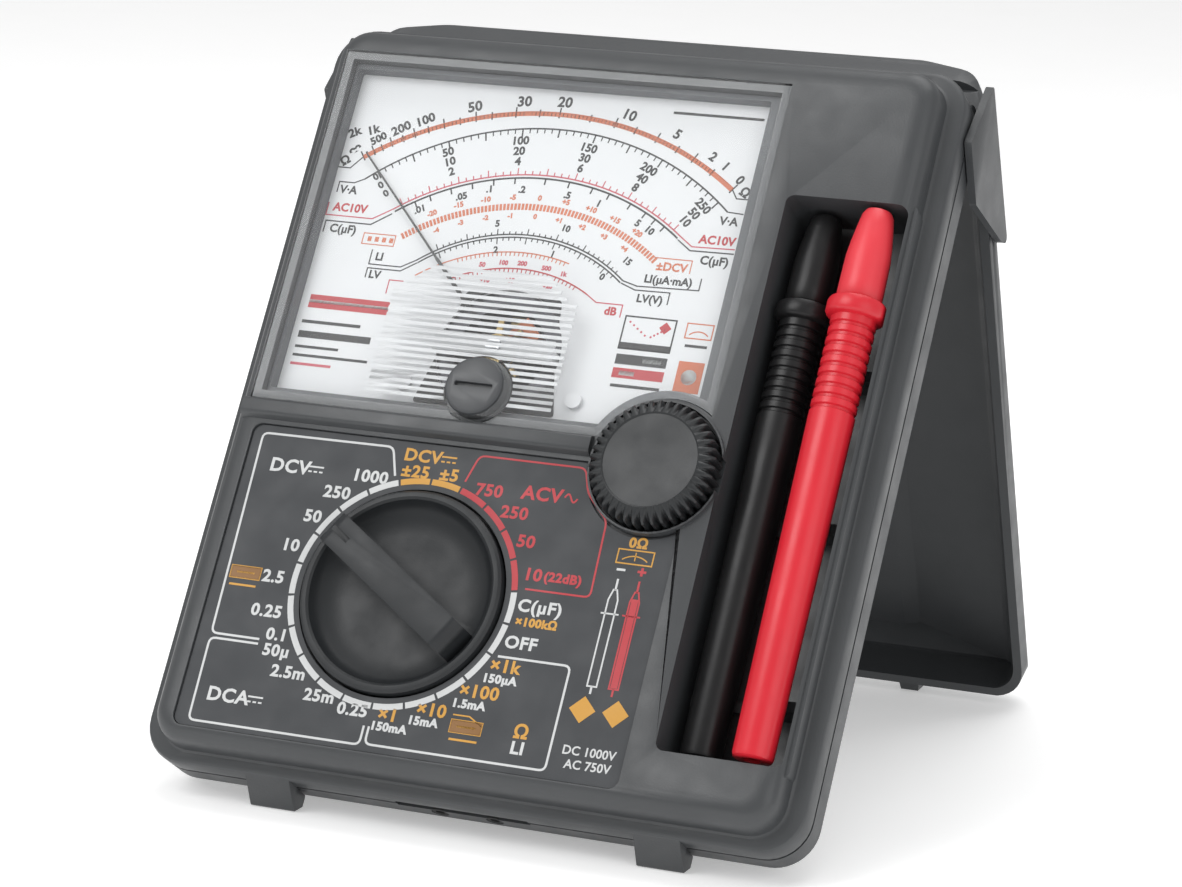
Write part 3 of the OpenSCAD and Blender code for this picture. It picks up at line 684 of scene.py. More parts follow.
class METER_OT_window(Piece):
    """Clear window: bevelled plate with side walls, frosted ribs over the movement and latch marks"""
    bl_idname = "meter.window"
    bl_label = "Window"

    def build(self, context):
        clear = clear_mat("clear_front", (0.975, 0.98, 0.98), 0.022, 0.2)
        inner = clear_mat("clear_back", (0.99, 0.995, 0.995), 0.0, 0.03)
        edge = clear_mat("clear_edge", (0.50, 0.51, 0.53), 0.08, 0.2, 0.5, (0.15, 0.155, 0.165))
        frost = finish_mat("frosted", (0.64, 0.65, 0.665), 0.5, 0.08, 0.1, 1500.0, tint=0.03)
        obj = as_object("window_clear", loft([[(x, y, z) for x, z in window_outline(i, ZERO_R + 1.7 + i)]
                                              for i, y in ((0, 0.5), (0, -0.9), (0.6, -1.5))]))
        cut(obj, disc(CORRECTOR, 5.88, -3, 2))
        finish_piece(obj, case_frame(), "case", [clear, inner], ["window"])
        back = max(obj.data.polygons, key=lambda f: f.normal.dot(case_frame().to_3x3() @ Vector((0, 1, 0))) * f.area)
        for f in obj.data.polygons:
            if f.normal.dot(back.normal) > 0.99:
                f.material_index = 1
        walls = as_object("window_walls", prism(window_outline(0, ZERO_R + 1.7), 0.52, 5.6))
        cut(walls, prism(window_outline(1.6, ZERO_R + 3.3), 0, 7), disc(CORRECTOR, 6.8, 0, 2))
        soften(walls, 0.15, 40, 1)
        finish_piece(walls, case_frame(), "case", edge)
        ribs = []
        z = 76.2
        step = dial().rib_pitch
        while z < 103.5:
            half = 19.0 if z < 98 else 17.0 - (z - 98)
            ribs.append(across(fillet([(0.5, z - 0.36, 0), (0.72, z - 0.28, 0.1), (0.72, z + 0.28, 0.1),
                                       (0.5, z + 0.36, 0)], 2), -17.3 - half, -17.3 + half))
            z += step
        obj = merge("window_ribs", ribs)
        cut(obj, disc(CORRECTOR, 6.9, 0, 2))
        finish_piece(obj, case_frame(), "case", frost)
        dark = finish_mat("latch_dark", (0.03, 0.03, 0.033), 0.4)
        marks = merge("window_latches", [block(-20.5, 1.2, 146.05, -6, 4.2, 147.2), block(-40, 3, 71, -28, 4.4, 72.2),
                                         block(33.3, 3, 100, 34.4, 4.4, 112)])
        finish_piece(marks, case_frame(), "case", dark)


class METER_OT_dial(Piece):
    """Dial: card, bezel and printed scales"""
    bl_idname = "meter.dial"
    bl_label = "Dial"

    def build(self, context):
        card = finish_mat("dial_white", (0.72, 0.725, 0.74), 0.6, 0.05, 0.015, 1800.0, tint=0.02)
        bezel = finish_mat("bezel_grey", (0.095, 0.10, 0.108), 0.5, 0.06, 0.03, 2500.0, tint=0.04)
        for name, m in (("dial_plate", card), ("dial_bezel", bezel)):
            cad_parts[name].data.materials.clear()
            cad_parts[name].data.materials.append(m)
        # A dark sheet laid on the dial over the movement's cutout: partly the dark magnet seen through the cutout,
        # partly painted shade of the recess behind the dial.
        shade = finish_mat("movement_shade", (0.022, 0.023, 0.025), 0.5, 0.08, 0.2, 1500.0)
        dark_sheet = as_object("movement_dark_sheet", prism([(x * 1.024, z * 1.024) for x, z in fillet(
            [(-27.8, 74.6, 0.5), (0.6, 74.6, 0.5), (-2.4, 88, 2), (-3.4, 97.6, 1), (-22.6, 97.6, 1), (-24.4, 88, 2)])],
            4.8, 4.99))
        cut(dark_sheet, disc(AXIS, 12.6, 4, 6))
        finish_piece(dark_sheet, case_frame(), "case", shade)
        p = Print(4.97, 1.024, 0.075, 0.08)
        self.scales(p)
        obj = p.object("dial_print", 0.03)
        finish_piece(obj, case_frame(), "case", inks())

    def curve(self, left, top, right):
        """Centre, radius and end angles of the arc through its two ends and its top."""
        mx, mz = (left[0] + right[0]) / 2, (left[1] + right[1]) / 2
        half = (right[0] - left[0]) / 2
        sag = top - mz
        r = (half * half + sag * sag) / (2 * sag)
        cz = top - r
        a0 = math.degrees(math.atan2(left[1] - cz, left[0] - mx))
        a1 = math.degrees(math.atan2(right[1] - cz, right[0] - mx))
        return mx, cz, r, a0, a1

    def scales(self, p):
        # resistance
        mx, cz, r, a0, a1 = self.curve((-51, 122.6), 134.8, (24, 122.6))
        p.arc(mx, cz, r, a0, a1, 0.75, PALE, 72)
        p.arc(mx, cz, r + 0.45, a0, a1, 0.14, PALE, 72)
        ohm = [0.0, 0.012, 0.028, 0.05, 0.075, 0.105, 0.135, 0.17, 0.21, 0.25, 0.29, 0.33, 0.39, 0.45, 0.5, 0.58,
               0.645, 0.70, 0.76, 0.82, 0.87, 0.93, 1.0]
        for k, t in enumerate(ohm):
            p.tick(mx, cz, r - 0.7, r + (1.5 if k % 2 == 0 else 0.9), a0 + (a1 - a0) * t, 0.2, BLACK)
        for k in range(90):
            p.tick(mx, cz, r - 0.4, r + 0.45, a0 + (a1 - a0) * (0.03 + 0.01 * k), 0.1, BLACK)
        for word, x, z, size, turn in (("2k", -54.3, 127.6, 2.5, 28), ("1k", -50.6, 128.4, 2.5, 24),
                                       ("500", -49.0, 126.7, 2.2, 34), ("200", -44.9, 129.2, 2.6, 32),
                                       ("100", -40.4, 131.4, 2.6, 28), ("50", -31.0, 135.0, 2.9, 17),
                                       ("30", -21.2, 136.9, 2.9, 7), ("20", -13.0, 137.4, 2.9, 0),
                                       ("10", 0.4, 135.9, 2.9, -13), ("5", 10.8, 132.8, 2.7, -23),
                                       ("2", 18.8, 128.9, 2.5, -30), ("1", 21.7, 127.2, 2.5, -33),
                                       ("0", 25.1, 124.7, 2.5, -38), ("∞", -53.2, 124.1, 2.8, 40),
                                       ("Ω", -54.6, 121.6, 2.5, 38), ("Ω", 26.6, 122.3, 2.5, -30)):
            p.text(word, x, z, size, BLACK, turn, 0.02)
        p.line([(-51.2, 122.6), (-53.2, 120.2), (-55.8, 120.2), (-55.8, 122.5)], 0.16, BLACK)
        p.line([(24.2, 122.6), (25.3, 121.0), (27.6, 121.0)], 0.16, BLACK)
        # volts and amperes
        mx, cz, r, a0, a1 = self.curve((-49.5, 118.2), 131.8, (24.2, 118.2))
        p.arc(mx, cz, r, a0, a1, 0.24, BLACK, 72)
        for k in range(51):
            reach = 1.7 if k % 5 == 0 else 0.95
            p.tick(mx, cz, r - reach, r, a0 + (a1 - a0) * (0.035 + 0.93 * k / 50), 0.22 if k % 5 == 0 else 0.15, BLACK)
        rows = ((("50", "10", "2"), (-34, 125.2), 24), (("100", "20", "4"), (-20, 128.8), 8),
                (("150", "30", "6"), (-6, 128.5), -8), (("200", "40", "8"), (6.9, 125.3), -24),
                (("250", "50", "10"), (19.2, 118.9), -40))
        for words, (x, z), turn in rows:
            down = Vector((math.sin(math.radians(turn)), -math.cos(math.radians(turn))))
            for k, word in enumerate(words):
                q = Vector((x, z)) + down * (2.15 * k)
                p.text(word, q.x, q.y, 2.3, BLACK, turn, 0.015)
        for k in range(3):
            p.text("0", -47.4 + 1.5 * k, 118.8 - 1.6 * k, 2.0, BLACK, 42, 0.01)
        p.line([(-49.5, 118.2), (-51.5, 117.2), (-54.6, 117.2), (-54.6, 115)], 0.16, BLACK)
        p.line([(24.2, 118.2), (27.4, 118.0)], 0.16, BLACK)
        p.text("V·A", -52.3, 115.6, 2.3, BLACK)
        p.text("V·A", 24.9, 116.3, 2.3, BLACK)
        # alternating volts and capacitance
        mx, cz, r, a0, a1 = self.curve((-42, 112.6), 122.2, (16.2, 112.6))
        p.arc(mx, cz, r, a0, a1, 0.2, ROSE, 60)
        p.arc(mx, cz, r - 0.65, a0, a1, 0.28, BLACK, 60)
        for k in range(41):
            p.tick(mx, cz, r, r + (1.4 if k % 4 == 0 else 0.8), a0 + (a1 - a0) * (0.03 + 0.94 * k / 40), 0.14, ROSE)
        for t in (0.07, 0.12, 0.19, 0.26, 0.33, 0.4, 0.5, 0.58, 0.66, 0.72, 0.8, 0.86, 0.9, 0.94):
            p.tick(mx, cz, r - 1.9, r - 0.6, a0 + (a1 - a0) * t, 0.22, BLACK)
        for word, x, z, turn in ((".01", -36.6, 113.0, 26), (".05", -28.9, 116.4, 18), (".1", -23.6, 118.4, 10),
                                 (".2", -17.1, 118.9, 3), (".5", -7.8, 118.6, -6), ("1", -1.2, 117.5, -14),
                                 ("5", 7.4, 114.3, -24), ("10", 10.0, 113.1, -28)):
            p.text(word, x, z, 1.9, BLACK, turn, 0.01)
        p.line([(-42, 112.6), (-45.8, 110.2), (-55.6, 110.2), (-55.6, 112.8)], 0.16, ROSE)
        p.line([(-42, 111.6), (-45.8, 109.0), (-55.2, 109.0), (-55.2, 106.6)], 0.18, BLACK)
        p.line([(16.2, 112.6), (19.0, 110.7), (27.4, 110.9)], 0.16, ROSE)
        p.line([(16.0, 111.8), (18.8, 109.9), (27.4, 110.0)], 0.18, BLACK)
        p.text("AC10V", -50.9, 111.9, 2.35, RED, 0, 0.01)
        p.text("AC10V", 23.6, 112.3, 2.35, RED, 0, 0.01)
        p.text("C(µF)", -51.2, 107.5, 2.35, BLACK)
        p.text("C(µF)", 24.0, 108.2, 2.35, BLACK)
        # centre zero
        mx, cz, r, a0, a1 = self.curve((-38.6, 107.3), 115.6, (12.4, 107.3))
        for k in range(75):
            p.tick(mx, cz, r - 0.65, r + 0.65, a0 + (a1 - a0) * k / 74, 0.42, PALE)
        for k, word in enumerate(("-20", "-15", "-10", "-5", "0", "+5", "+10", "+15", "+20")):
            a = math.radians(a0 + (a1 - a0) * (0.12 + 0.095 * k))
            p.text(word, mx + (r + 1.9) * math.cos(a), cz + (r + 1.9) * math.sin(a), 1.45, PALE,
                   math.degrees(a) - 90)
        for k, word in enumerate(("-4", "-3", "-2", "-1", "0", "+1", "+2", "+3", "+4")):
            a = math.radians(a0 + (a1 - a0) * (0.12 + 0.095 * k))
            p.text(word, mx + (r - 1.9) * math.cos(a), cz + (r - 1.9) * math.sin(a), 1.35, PALE,
                   math.degrees(a) - 90)
        p.line([(-46.6, 107.2), (-40.0, 107.2), (-40.0, 105.0), (-46.6, 105.0)], 0.12, PALE, True)
        for k in range(4):
            p.line([(-45.6 + 1.5 * k, 106.1), (-44.8 + 1.5 * k, 106.1)], 0.9, PALE)
        p.text("±DCV", 16.1, 106.2, 2.3, PALE)
        p.line([(12.3, 107.9), (19.8, 107.9), (19.8, 105.3)], 0.12, PALE)
        # load current and load voltage
        mx, cz, r, a0, a1 = self.curve((-34.5, 102.7), 109.9, (7.3, 102.7))
        p.arc(mx, cz, r, a0, a1, 0.2, BLACK, 48)
        p.arc(mx, cz, r - 0.6, a0, a1, 0.2, BLACK, 48)
        for k in range(33):
            p.tick(mx, cz, r, r + (1.2 if k % 5 == 0 else 0.6), a0 + (a1 - a0) * (0.1 + 0.85 * k / 32), 0.13, BLACK)
            p.tick(mx, cz, r - 0.6, r - (1.9 if k % 5 == 0 else 1.3), a0 + (a1 - a0) * (0.1 + 0.85 * k / 32), 0.13, BLACK)
        for word, x, z, turn in (("5", -20.2, 111.6, 8), ("10", -6.4, 111.9, -8), ("15", 7.2, 106.6, -30),
                                 ("2", -19.2, 106.3, 8), ("1", -7.7, 106.5, -8), ("0", 3.1, 103.0, -22)):
            p.text(word, x, z, 1.8, BLACK, turn)
        p.line([(-34.5, 102.7), (-37.4, 101.0), (-44.0, 101.0), (-44.0, 104.0)], 0.16, BLACK)
        p.line([(-34.2, 102.2), (-37.2, 100.2), (-44.0, 100.2), (-44.0, 98.2)], 0.16, BLACK)
        p.line([(7.3, 102.7), (10.3, 101.9), (22.4, 102.2), (22.4, 104.6)], 0.16, BLACK)
        p.line([(7.1, 102.2), (10.1, 101.1), (17.0, 101.2), (17.0, 98.8)], 0.16, BLACK)
        p.text("LI", -42.2, 102.6, 2.2, BLACK)
        p.text("LV", -42.2, 98.9, 2.2, BLACK)
        p.text("LI(µA·mA)", 16.1, 103.5, 2.2, BLACK)
        p.text("LV(V)", 13.4, 99.5, 2.2, BLACK)
        # gain and decibels
        mx, cz, r, a0, a1 = self.curve((-30, 101.5), 106.3, (-5.5, 105.2))
        mx, cz, r, a0, a1 = self.curve((-34, 99.6), 106.3, (7, 99.6))
        p.arc(mx, cz, r, a0, a0 + (a1 - a0) * 0.72, 0.16, PALE, 40)
        for k in range(26):
            p.tick(mx, cz, r - 0.8, r, a0 + (a1 - a0) * (0.2 + 0.02 * k), 0.12, PALE)
        mx, cz, r, a0, a1 = self.curve((-27.5, 99.3), 103.0, (1.0, 99.3))
        p.arc(mx, cz, r, a0, a1, 0.2, RED, 40)
        for k in range(29):
            p.tick(mx, cz, r - 0.8, r, a0 + (a1 - a0) * (0.06 + 0.03 * k), 0.12, RED)
        for word, x, z in (("50", -21.1, 103.1), ("100", -17.0, 103.9), ("200", -13.2, 104.1), ("500", -8.2, 103.6),
                           ("1k", -4.6, 102.8), ("+10", -19.8, 100.1), ("+15", -14.9, 100.5), ("+20", -7.1, 100.1)):
            p.text(word, x, z, 1.25, ROSE, 0)
        p.line([(1.0, 99.3), (3.2, 97.9), (8.5, 97.9), (8.5, 95.4)], 0.16, ROSE)
        p.text("dB", 6.4, 96.4, 2.2, RED, 0, 0.01)
        p.line([(-36.0, 98.2), (-38.9, 98.2), (-38.9, 95.4)], 0.14, ROSE)
        # plain blocks in place of words
        p.line([(-54.0, 92.4), (-37.5, 92.4)], 2.6, RED)
        p.line([(-54.0, 92.4), (-37.5, 92.4)], 0.5, WHITE)
        p.line([(-54.4, 88.2), (-42.2, 88.2)], 0.55, BLACK)
        p.line([(-54.4, 85.6), (-39.4, 85.6)], 1.3, BLACK)
        for k, (w, ink) in enumerate(((9.0, BLACK), (15.5, BLACK), (8.4, ROSE))):
            p.line([(-54.4, 83.1 - 1.75 * k), (-54.4 + w, 83.1 - 1.75 * k)], 0.45, ink)
        p.line([(9, 137.2), (27, 137.2)], 0.45, BLACK)
        p.line([(9.7, 95.9), (19.7, 95.9), (19.7, 89.5), (9.7, 89.5)], 0.22, BLACK, True)
        for k in range(5):
            p.spot(10.8 + 0.85 * k, 94.8 - 0.6 * k, 0.22, ROSE, 10)
            p.spot(15.4 + 0.6 * k, 92.2 + 0.4 * k, 0.22, ROSE, 10)
        p.face([(17.8, 93.0), (19.0, 94.2), (17.8, 95.4), (16.6, 94.2)], RED)
        p.line([(9.7, 90.1), (19.7, 90.1)], 1.2, BLACK)
        p.line([(9.7, 87.4), (19.7, 87.4)], 1.9, BLACK)
        p.line([(9.7, 84.7), (19.7, 84.7)], 1.9, RED)
        p.line([(11.0, 84.7), (14.0, 84.7)], 0.8, WHITE)
        p.line([(15.0, 87.4), (18.6, 87.4)], 0.7, WHITE)
        p.line([(9.9, 82.2), (19.5, 82.2)], 0.5, BLACK)
        p.line([(21.9, 95.7), (27.0, 95.7), (27.0, 92.8), (21.9, 92.8)], 0.16, PALE, True)
        p.arc(24.45, 91.6, 2.6, 45, 135, 0.16, PALE, 10)
        p.line([(22.3, 91.3), (26.6, 91.3)], 0.45, BLACK)
        p.line([(22.0, 85.2), (27.0, 85.2)], 6.0, PALE)
        p.spot(24.5, 85.2, 1.5, WHITE)


class METER_OT_panel(Piece):
    """Range panel: plate and printed ranges round the knob"""
    bl_idname = "meter.panel"
    bl_label = "Range panel"

    def build(self, context):
        plate = finish_mat("panel_grey", tuple(look().panel_color), 0.5, 0.06, look().grain, 3200.0, tint=0.05, shine=0.36)
        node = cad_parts["range_plate"]
        node.data.materials.clear()
        node.data.materials.append(plate)
        p = Print(0.47, 1.024)
        self.ring(p)
        self.frames(p)
        self.words(p)
        obj = p.object("panel_print", 0.03)
        finish_piece(obj, case_frame(), "case", inks())

    def ring(self, p):
        step = 360 / dial().positions
        cx, cz = KNOB[0] / 1.024, KNOB[1] / 1.024
        for k in range(dial().positions):
            a = 90 + step * (k + 0.5)
            turn = a % 360
            ink = WHITE
            if 80 < turn < 100:
                ink = ORANGE
            elif 8 < turn < 74:
                ink = RED
            p.arc(cx, cz, 21.55, a - step / 2 + 0.6, a + step / 2 - 0.6, 1.15, ink, 6)

    def rounded_line(self, p, pts, width, ink):
        """A line whose inner corners are rounded."""
        out = [pts[0]]
        for i in range(1, len(pts) - 1):
            q = Vector(pts[i])
            a = (Vector(pts[i - 1]) - q).normalized()
            b = (Vector(pts[i + 1]) - q).normalized()
            for k in range(5):
                t = k / 4
                start, end = q + a * 1.2, q + b * 1.2
                out.append(tuple(start * (1 - t) ** 2 + q * 2 * t * (1 - t) + end * t * t))
        out.append(pts[-1])
        p.line(out, width, ink)

    def frames(self, p):
        self.rounded_line(p, [(-25.1, 58.4), (-26.9, 63.9), (-53.5, 63.7), (-52.8, 24.3), (-43, 24.3)], 0.42, WHITE)
        self.rounded_line(p, [(-43, 23.4), (-52.8, 23.4), (-52.6, 7.6), (-18.3, 7.6), (-18.3, 11.2)], 0.42, WHITE)
        self.rounded_line(p, [(-17.3, 11.2), (-17.3, 7.9), (17.6, 7.9), (17.6, 27.3), (3.6, 27.3)], 0.42, WHITE)
        self.rounded_line(p, [(-11.2, 58.9), (-9.6, 64.2), (11.2, 64.2), (12.8, 59.5), (17.6, 54.8), (18.0, 40.3),
                              (5.5, 40.3)], 0.36, RED)

    def dc(self, p, x, z, ink):
        p.line([(x - 1.5, z + 0.45), (x + 1.5, z + 0.45)], 0.32, ink)
        for k in (-1, 0, 1):
            p.line([(x + k * 1.1 - 0.35, z - 0.5), (x + k * 1.1 + 0.35, z - 0.5)], 0.32, ink)

    def words(self, p):
        for word, x, z, size, ink in (
                ("DCV", -46.3, 57.7, 3.5, WHITE), ("1000", -29.9, 57.6, 3.1, WHITE), ("250", -35.6, 53.8, 3.1, WHITE),
                ("50", -39.1, 48.7, 3.1, WHITE), ("10", -41.9, 42.7, 3.1, WHITE), ("2.5", -43.6, 36.3, 3.1, WHITE),
                ("0.25", -43.1, 29.7, 3.1, WHITE), ("0.1", -39.8, 25.5, 3.0, WHITE), ("50µ", -39.1, 22.5, 3.0, WHITE),
                ("2.5m", -35.6, 18.8, 3.0, WHITE), ("25m", -28.4, 15.3, 3.0, WHITE), ("0.25", -21.3, 13.7, 3.0, WHITE),
                ("DCA", -46.1, 12.9, 3.5, WHITE), ("×1", -14.3, 13.7, 3.2, ORANGE), ("150mA", -13.6, 11.4, 2.1, WHITE),
                ("×10", -6.3, 15.7, 3.2, ORANGE), ("15mA", -7.4, 13.4, 2.1, WHITE),
                ("×100", 1.8, 20.2, 3.2, ORANGE), ("1.5mA", 0.4, 17.7, 2.1, WHITE),
                ("×1k", 5.4, 25.5, 3.2, ORANGE), ("150µA", 5.0, 23.0, 2.1, WHITE),
                ("OFF", 7.3, 30.1, 3.1, WHITE), ("C(µF)", 9.2, 37.1, 3.1, WHITE), ("×100kΩ", 9.2, 34.1, 2.1, ORANGE),
                ("10", 6.3, 43.0, 3.1, RED), ("(22dB)", 12.1, 43.0, 2.3, RED), ("50", 3.4, 49.0, 3.1, RED),
                ("250", -0.2, 54.1, 3.1, RED), ("750", -6.1, 57.7, 3.1, RED), ("ACV", 4.2, 58.2, 3.5, RED),
                ("DCV", -20.6, 62.7, 3.2, ORANGE), ("±25", -21.3, 59.6, 3.1, ORANGE), ("±5", -14.6, 59.7, 3.1, ORANGE),
                ("Ω", 11.5, 14.1, 3.4, ORANGE), ("LI", 11.5, 11.1, 3.1, WHITE), ("0Ω", 24.6, 51.3, 2.5, ORANGE),
                ("+", 26.5, 46.0, 2.8, RED), ("−", 22.5, 46.0, 2.8, WHITE)):
            p.text(word, x, z, size * 1.03, ink, 0, 0.075, 1.06)
        self.dc(p, -41.0, 57.8, WHITE)
        self.dc(p, -40.6, 13.0, WHITE)
        self.dc(p, -15.4, 62.7, ORANGE)
        p.line([(8.6 + 0.25 * k, 58.2 + 0.75 * math.sin(k * 0.63)) for k in range(11)], 0.32, RED)
        # small generic sockets and a meter drawing
        for x0, x1, z0, z1 in ((-52.3, -46.3, 35.3, 37.6), (-2.0, 4.0, 12.4, 14.7)):
            p.face([(x0, z0), (x1, z0), (x1, z1), (x0, z1)], FILL)
            p.line([(x0, z0), (x1, z0), (x1, z1), (x0, z1)], 0.26, ORANGE, True)
            mid = (z0 + z1) / 2
            p.line([(x0 + 1.2, mid), (x1 - 1.2, mid)], 0.35, ORANGE)
            p.line([(x0 + 0.3, z0 - 1.3), (x1 - 0.3, z0 - 1.3)], 0.4, ORANGE)
        p.line([(4.0, 14.0), (1.2, 15.6), (-2.0, 15.6)], 0.26, ORANGE)
        p.line([(21.2, 47.4), (28.0, 47.4), (28.0, 50.0), (21.2, 50.0)], 0.26, ORANGE, True)
        p.arc(24.6, 45.0, 3.9, 52, 128, 0.22, ORANGE, 12)
        p.line([(24.6, 48.0), (24.6, 49.6)], 0.22, ORANGE)
        for x, ink in ((22.4, WHITE), (26.5, RED)):
            p.line([(x, 44.4), (x, 42.2)], 0.4, ink)
            p.line([(x - 0.35, 42.3), (x - 0.9, 40.4), (x - 0.9, 24.2), (x + 0.9, 24.2), (x + 0.9, 40.4),
                    (x + 0.35, 42.3)], 0.3, ink, True)
            if ink == RED:
                p.line([(x, 41.0), (x, 24.4)], 1.3, ink)
            p.line([(x - 1.7, 37.8), (x + 1.7, 37.8)], 0.3, ink)
            p.line([(x, 24.2), (x, 22.8)], 0.4, ink)
        for x in (21.7, 28.0):
            p.face([(x - 2.5, 19.8), (x, 17.3), (x + 2.5, 19.8), (x, 22.3)], ORANGE)
        p.text("DC 1000V", 24.9, 12.2, 2.3, WHITE, 0, 0.015)
        p.text("AC 750V", 25.2, 9.7, 2.3, WHITE, 0, 0.015)


class METER_OT_range_knob(Piece):
    """Range knob: rim, dished floor and grip bar with an index notch"""
    bl_idname = "meter.range_knob"
    bl_label = "Range knob"

    def build(self, context):
        turn = 90 + 3.5 * 360 / dial().positions
        rim = lathe([(0, 2.3), (12, 2.25), (16.2, 1.7), (17.6, 0.5), (18.0, -0.75), (18.5, -1.05), (19.3, -1.0),
                     (19.8, -0.5), (19.9, 0.3), (19.9, 4.3), (0, 4.4)], (0, 0), n=128)
        obj = as_object("knob_body", rim)
        half = 3.25
        bar = [(-16.6, 2.6, 0), (-16.4, -3.2, 1.4), (-14.6, -5.0, 1.6), (16.6, -5.0, 1.4), (18.6, -3.4, 1.6),
               (19.6, -0.4, 0.8), (19.6, 2.6, 0)]
        side = [(x, y) for x, y in fillet(bar, 4)]
        bm = loft([[(x, y, z) for x, y in side] for z in (-half, half)])
        add(obj, bm)
        cut(obj, block(12.8, -6.5, -0.55, 18.0, -4.2, 0.55))
        soften(obj, 0.28, 40)
        stem = lathe([(0, 4.3), (3, 4.3), (3, 13.0), (2.4, 13.0), (2.4, 13.6), (3, 13.6), (2.8, 14.2), (0, 14.2)],
                     (0, 0), n=48)
        add(obj, stem)
        spin = Matrix.Translation((KNOB[0], 0, KNOB[1])) @ Matrix.Rotation(-math.radians(turn), 4, "Y")
        mat = finish_mat("knob_grey", (0.019, 0.021, 0.023), 0.45, 0.07, 0.14, 2400.0, tint=0.06, shine=0.36)
        finish_piece(obj, case_frame() @ spin, "range_switch", mat, ["range_knob"], 34)


class METER_OT_zero_knob(Piece):
    """Zero knob: fluted drum with a flat top"""
    bl_idname = "meter.zero_knob"
    bl_label = "Zero knob"

    def build(self, context):
        count = dial().flutes
        per = 8
        depth = [0.0, 0.0, 0.0, 0.35, 1.0, 1.15, 1.0, 0.35]
        rings = []
        for r, y, cut_in in ((ZERO_R, 1.25, 1), (ZERO_R, -2.9, 1), (ZERO_R - 0.45, -3.6, 1), (ZERO_R - 1.4, -4.15, 0.85),
                             (ZERO_R - 2.5, -4.4, 0.35), (9.35, -4.5, 0), (9.15, -4.4, 0), (9.05, -4.25, 0)):
            ring = []
            for k in range(count * per):
                a = 2 * math.pi * k / (count * per)
                q = r - depth[k % per] * cut_in
                ring.append((ZERO[0] + q * math.cos(a), y, ZERO[1] + q * math.sin(a)))
            rings.append(ring)
        obj = as_object("zero_knob_body", loft(rings))
        cut(obj, disc(ZERO, 3.02, -2.9, 2, 48))
        mat = finish_mat("zero_grey", (0.021, 0.023, 0.0245), 0.4, 0.07, 0.12, 2600.0, tint=0.06, shine=0.38)
        finish_piece(obj, case_frame(), "zero_ohm", mat, ["zero_ohm_knob"], 28)


class METER_OT_corrector(Piece):
    """Zero corrector: slotted screw in the window"""
    bl_idname = "meter.corrector"
    bl_label = "Zero corrector"

    def build(self, context):
        obj = as_object("corrector_body", lathe([(0, -2.1), (5.2, -2.1), (5.65, -1.9), (5.8, -1.5), (5.8, 0.8),
                                                 (6.5, 0.8), (6.5, 1.3), (0, 1.3)], CORRECTOR, n=96))
        cut(obj, prism(rounded(CORRECTOR[0] - 3.85, CORRECTOR[1] - 0.45, CORRECTOR[0] + 3.85, CORRECTOR[1] + 0.45, 0.3, 3),
                       -3, -1.2))
        add(obj, lathe([(0, 1.2), (0.6, 1.2), (0.6, 3.4), (0, 3.5)], (CORRECTOR[0], CORRECTOR[1] + 2.2), n=24))
        soften(obj, 0.12, 45)
        mat = finish_mat("corrector_grey", (0.055, 0.058, 0.062), 0.38, 0.07, 0.12, 2600.0, tint=0.05)
        finish_piece(obj, case_frame(), "corrector", mat, ["zero_corrector"])


def probe(name, at, color_mat, body, cap_mat=None):
    """Barrel with grip rings and a finger guard, and a pushed-on cap."""
    prof = [(0, 27), (1.6, 27), (1.6, 16.0), (3.2, 16.0), (3.62, 16.25), (3.82, 16.9), (4.3, 80.5)]
    for k in range(9):
        z = 82 + 2.05 * k
        prof += [(4.3, z), (3.92, z + 0.25), (3.92, z + 0.75), (4.3, z + 1.0)]
    prof += [(4.3, 100.7), (4.9, 100.9), (5.35, 101.15), (5.6, 101.6), (5.6, 103.5), (5.35, 104.1), (4.7, 104.4),
             (4.35, 104.5), (1.02, 104.5), (1.02, 90), (0, 90)]
    obj = as_object(name + "_barrel_body", lathe(prof, at, "Z", 56))
    finish_piece(obj, case_frame(), body, color_mat, [name + "_probe_barrel"], 40)
    prof = [(0, 120.5), (1.25, 120.5), (1.25, 104.55), (4.1, 104.55), (4.3, 104.8), (4.3, 107.5), (4.22, 113.0),
            (3.9, 116.0), (3.35, 119.6), (3.0, 121.6), (2.5, 122.5), (1.6, 122.8), (0, 122.8)]
    cap = as_object(name + "_cap_body", lathe(prof, at, "Z", 56))
    finish_piece(cap, case_frame(), body, cap_mat or color_mat, [name + "_probe_cap"], 40)


class METER_OT_probes(Piece):
    """The two test probes lying in the trough"""
    bl_idname = "meter.probes"
    bl_label = "Probes"

    def build(self, context):
        red = finish_mat("probe_red", tuple(look().probe_color), 0.34, 0.06, 0.12, 1500.0, tint=0.05)
        # The cap's red is lighter than the barrel's: painted sheen, standing in for the soft highlight the cap shows
        # under the light.
        cap_red_painted_sheen = finish_mat("cap_red_painted_sheen", (0.70, 0.035, 0.05), 0.42, 0.06, 0.12, 1500.0, tint=0.05)
        black = finish_mat("probe_black", (0.009, 0.009, 0.0095), 0.36, 0.07, 0.2, 1500.0, tint=0.1, shine=0.32)
        probe("black", BLACK_AT, black, "black_probe")
        probe("red", RED_AT, red, "red_probe", cap_red_painted_sheen)


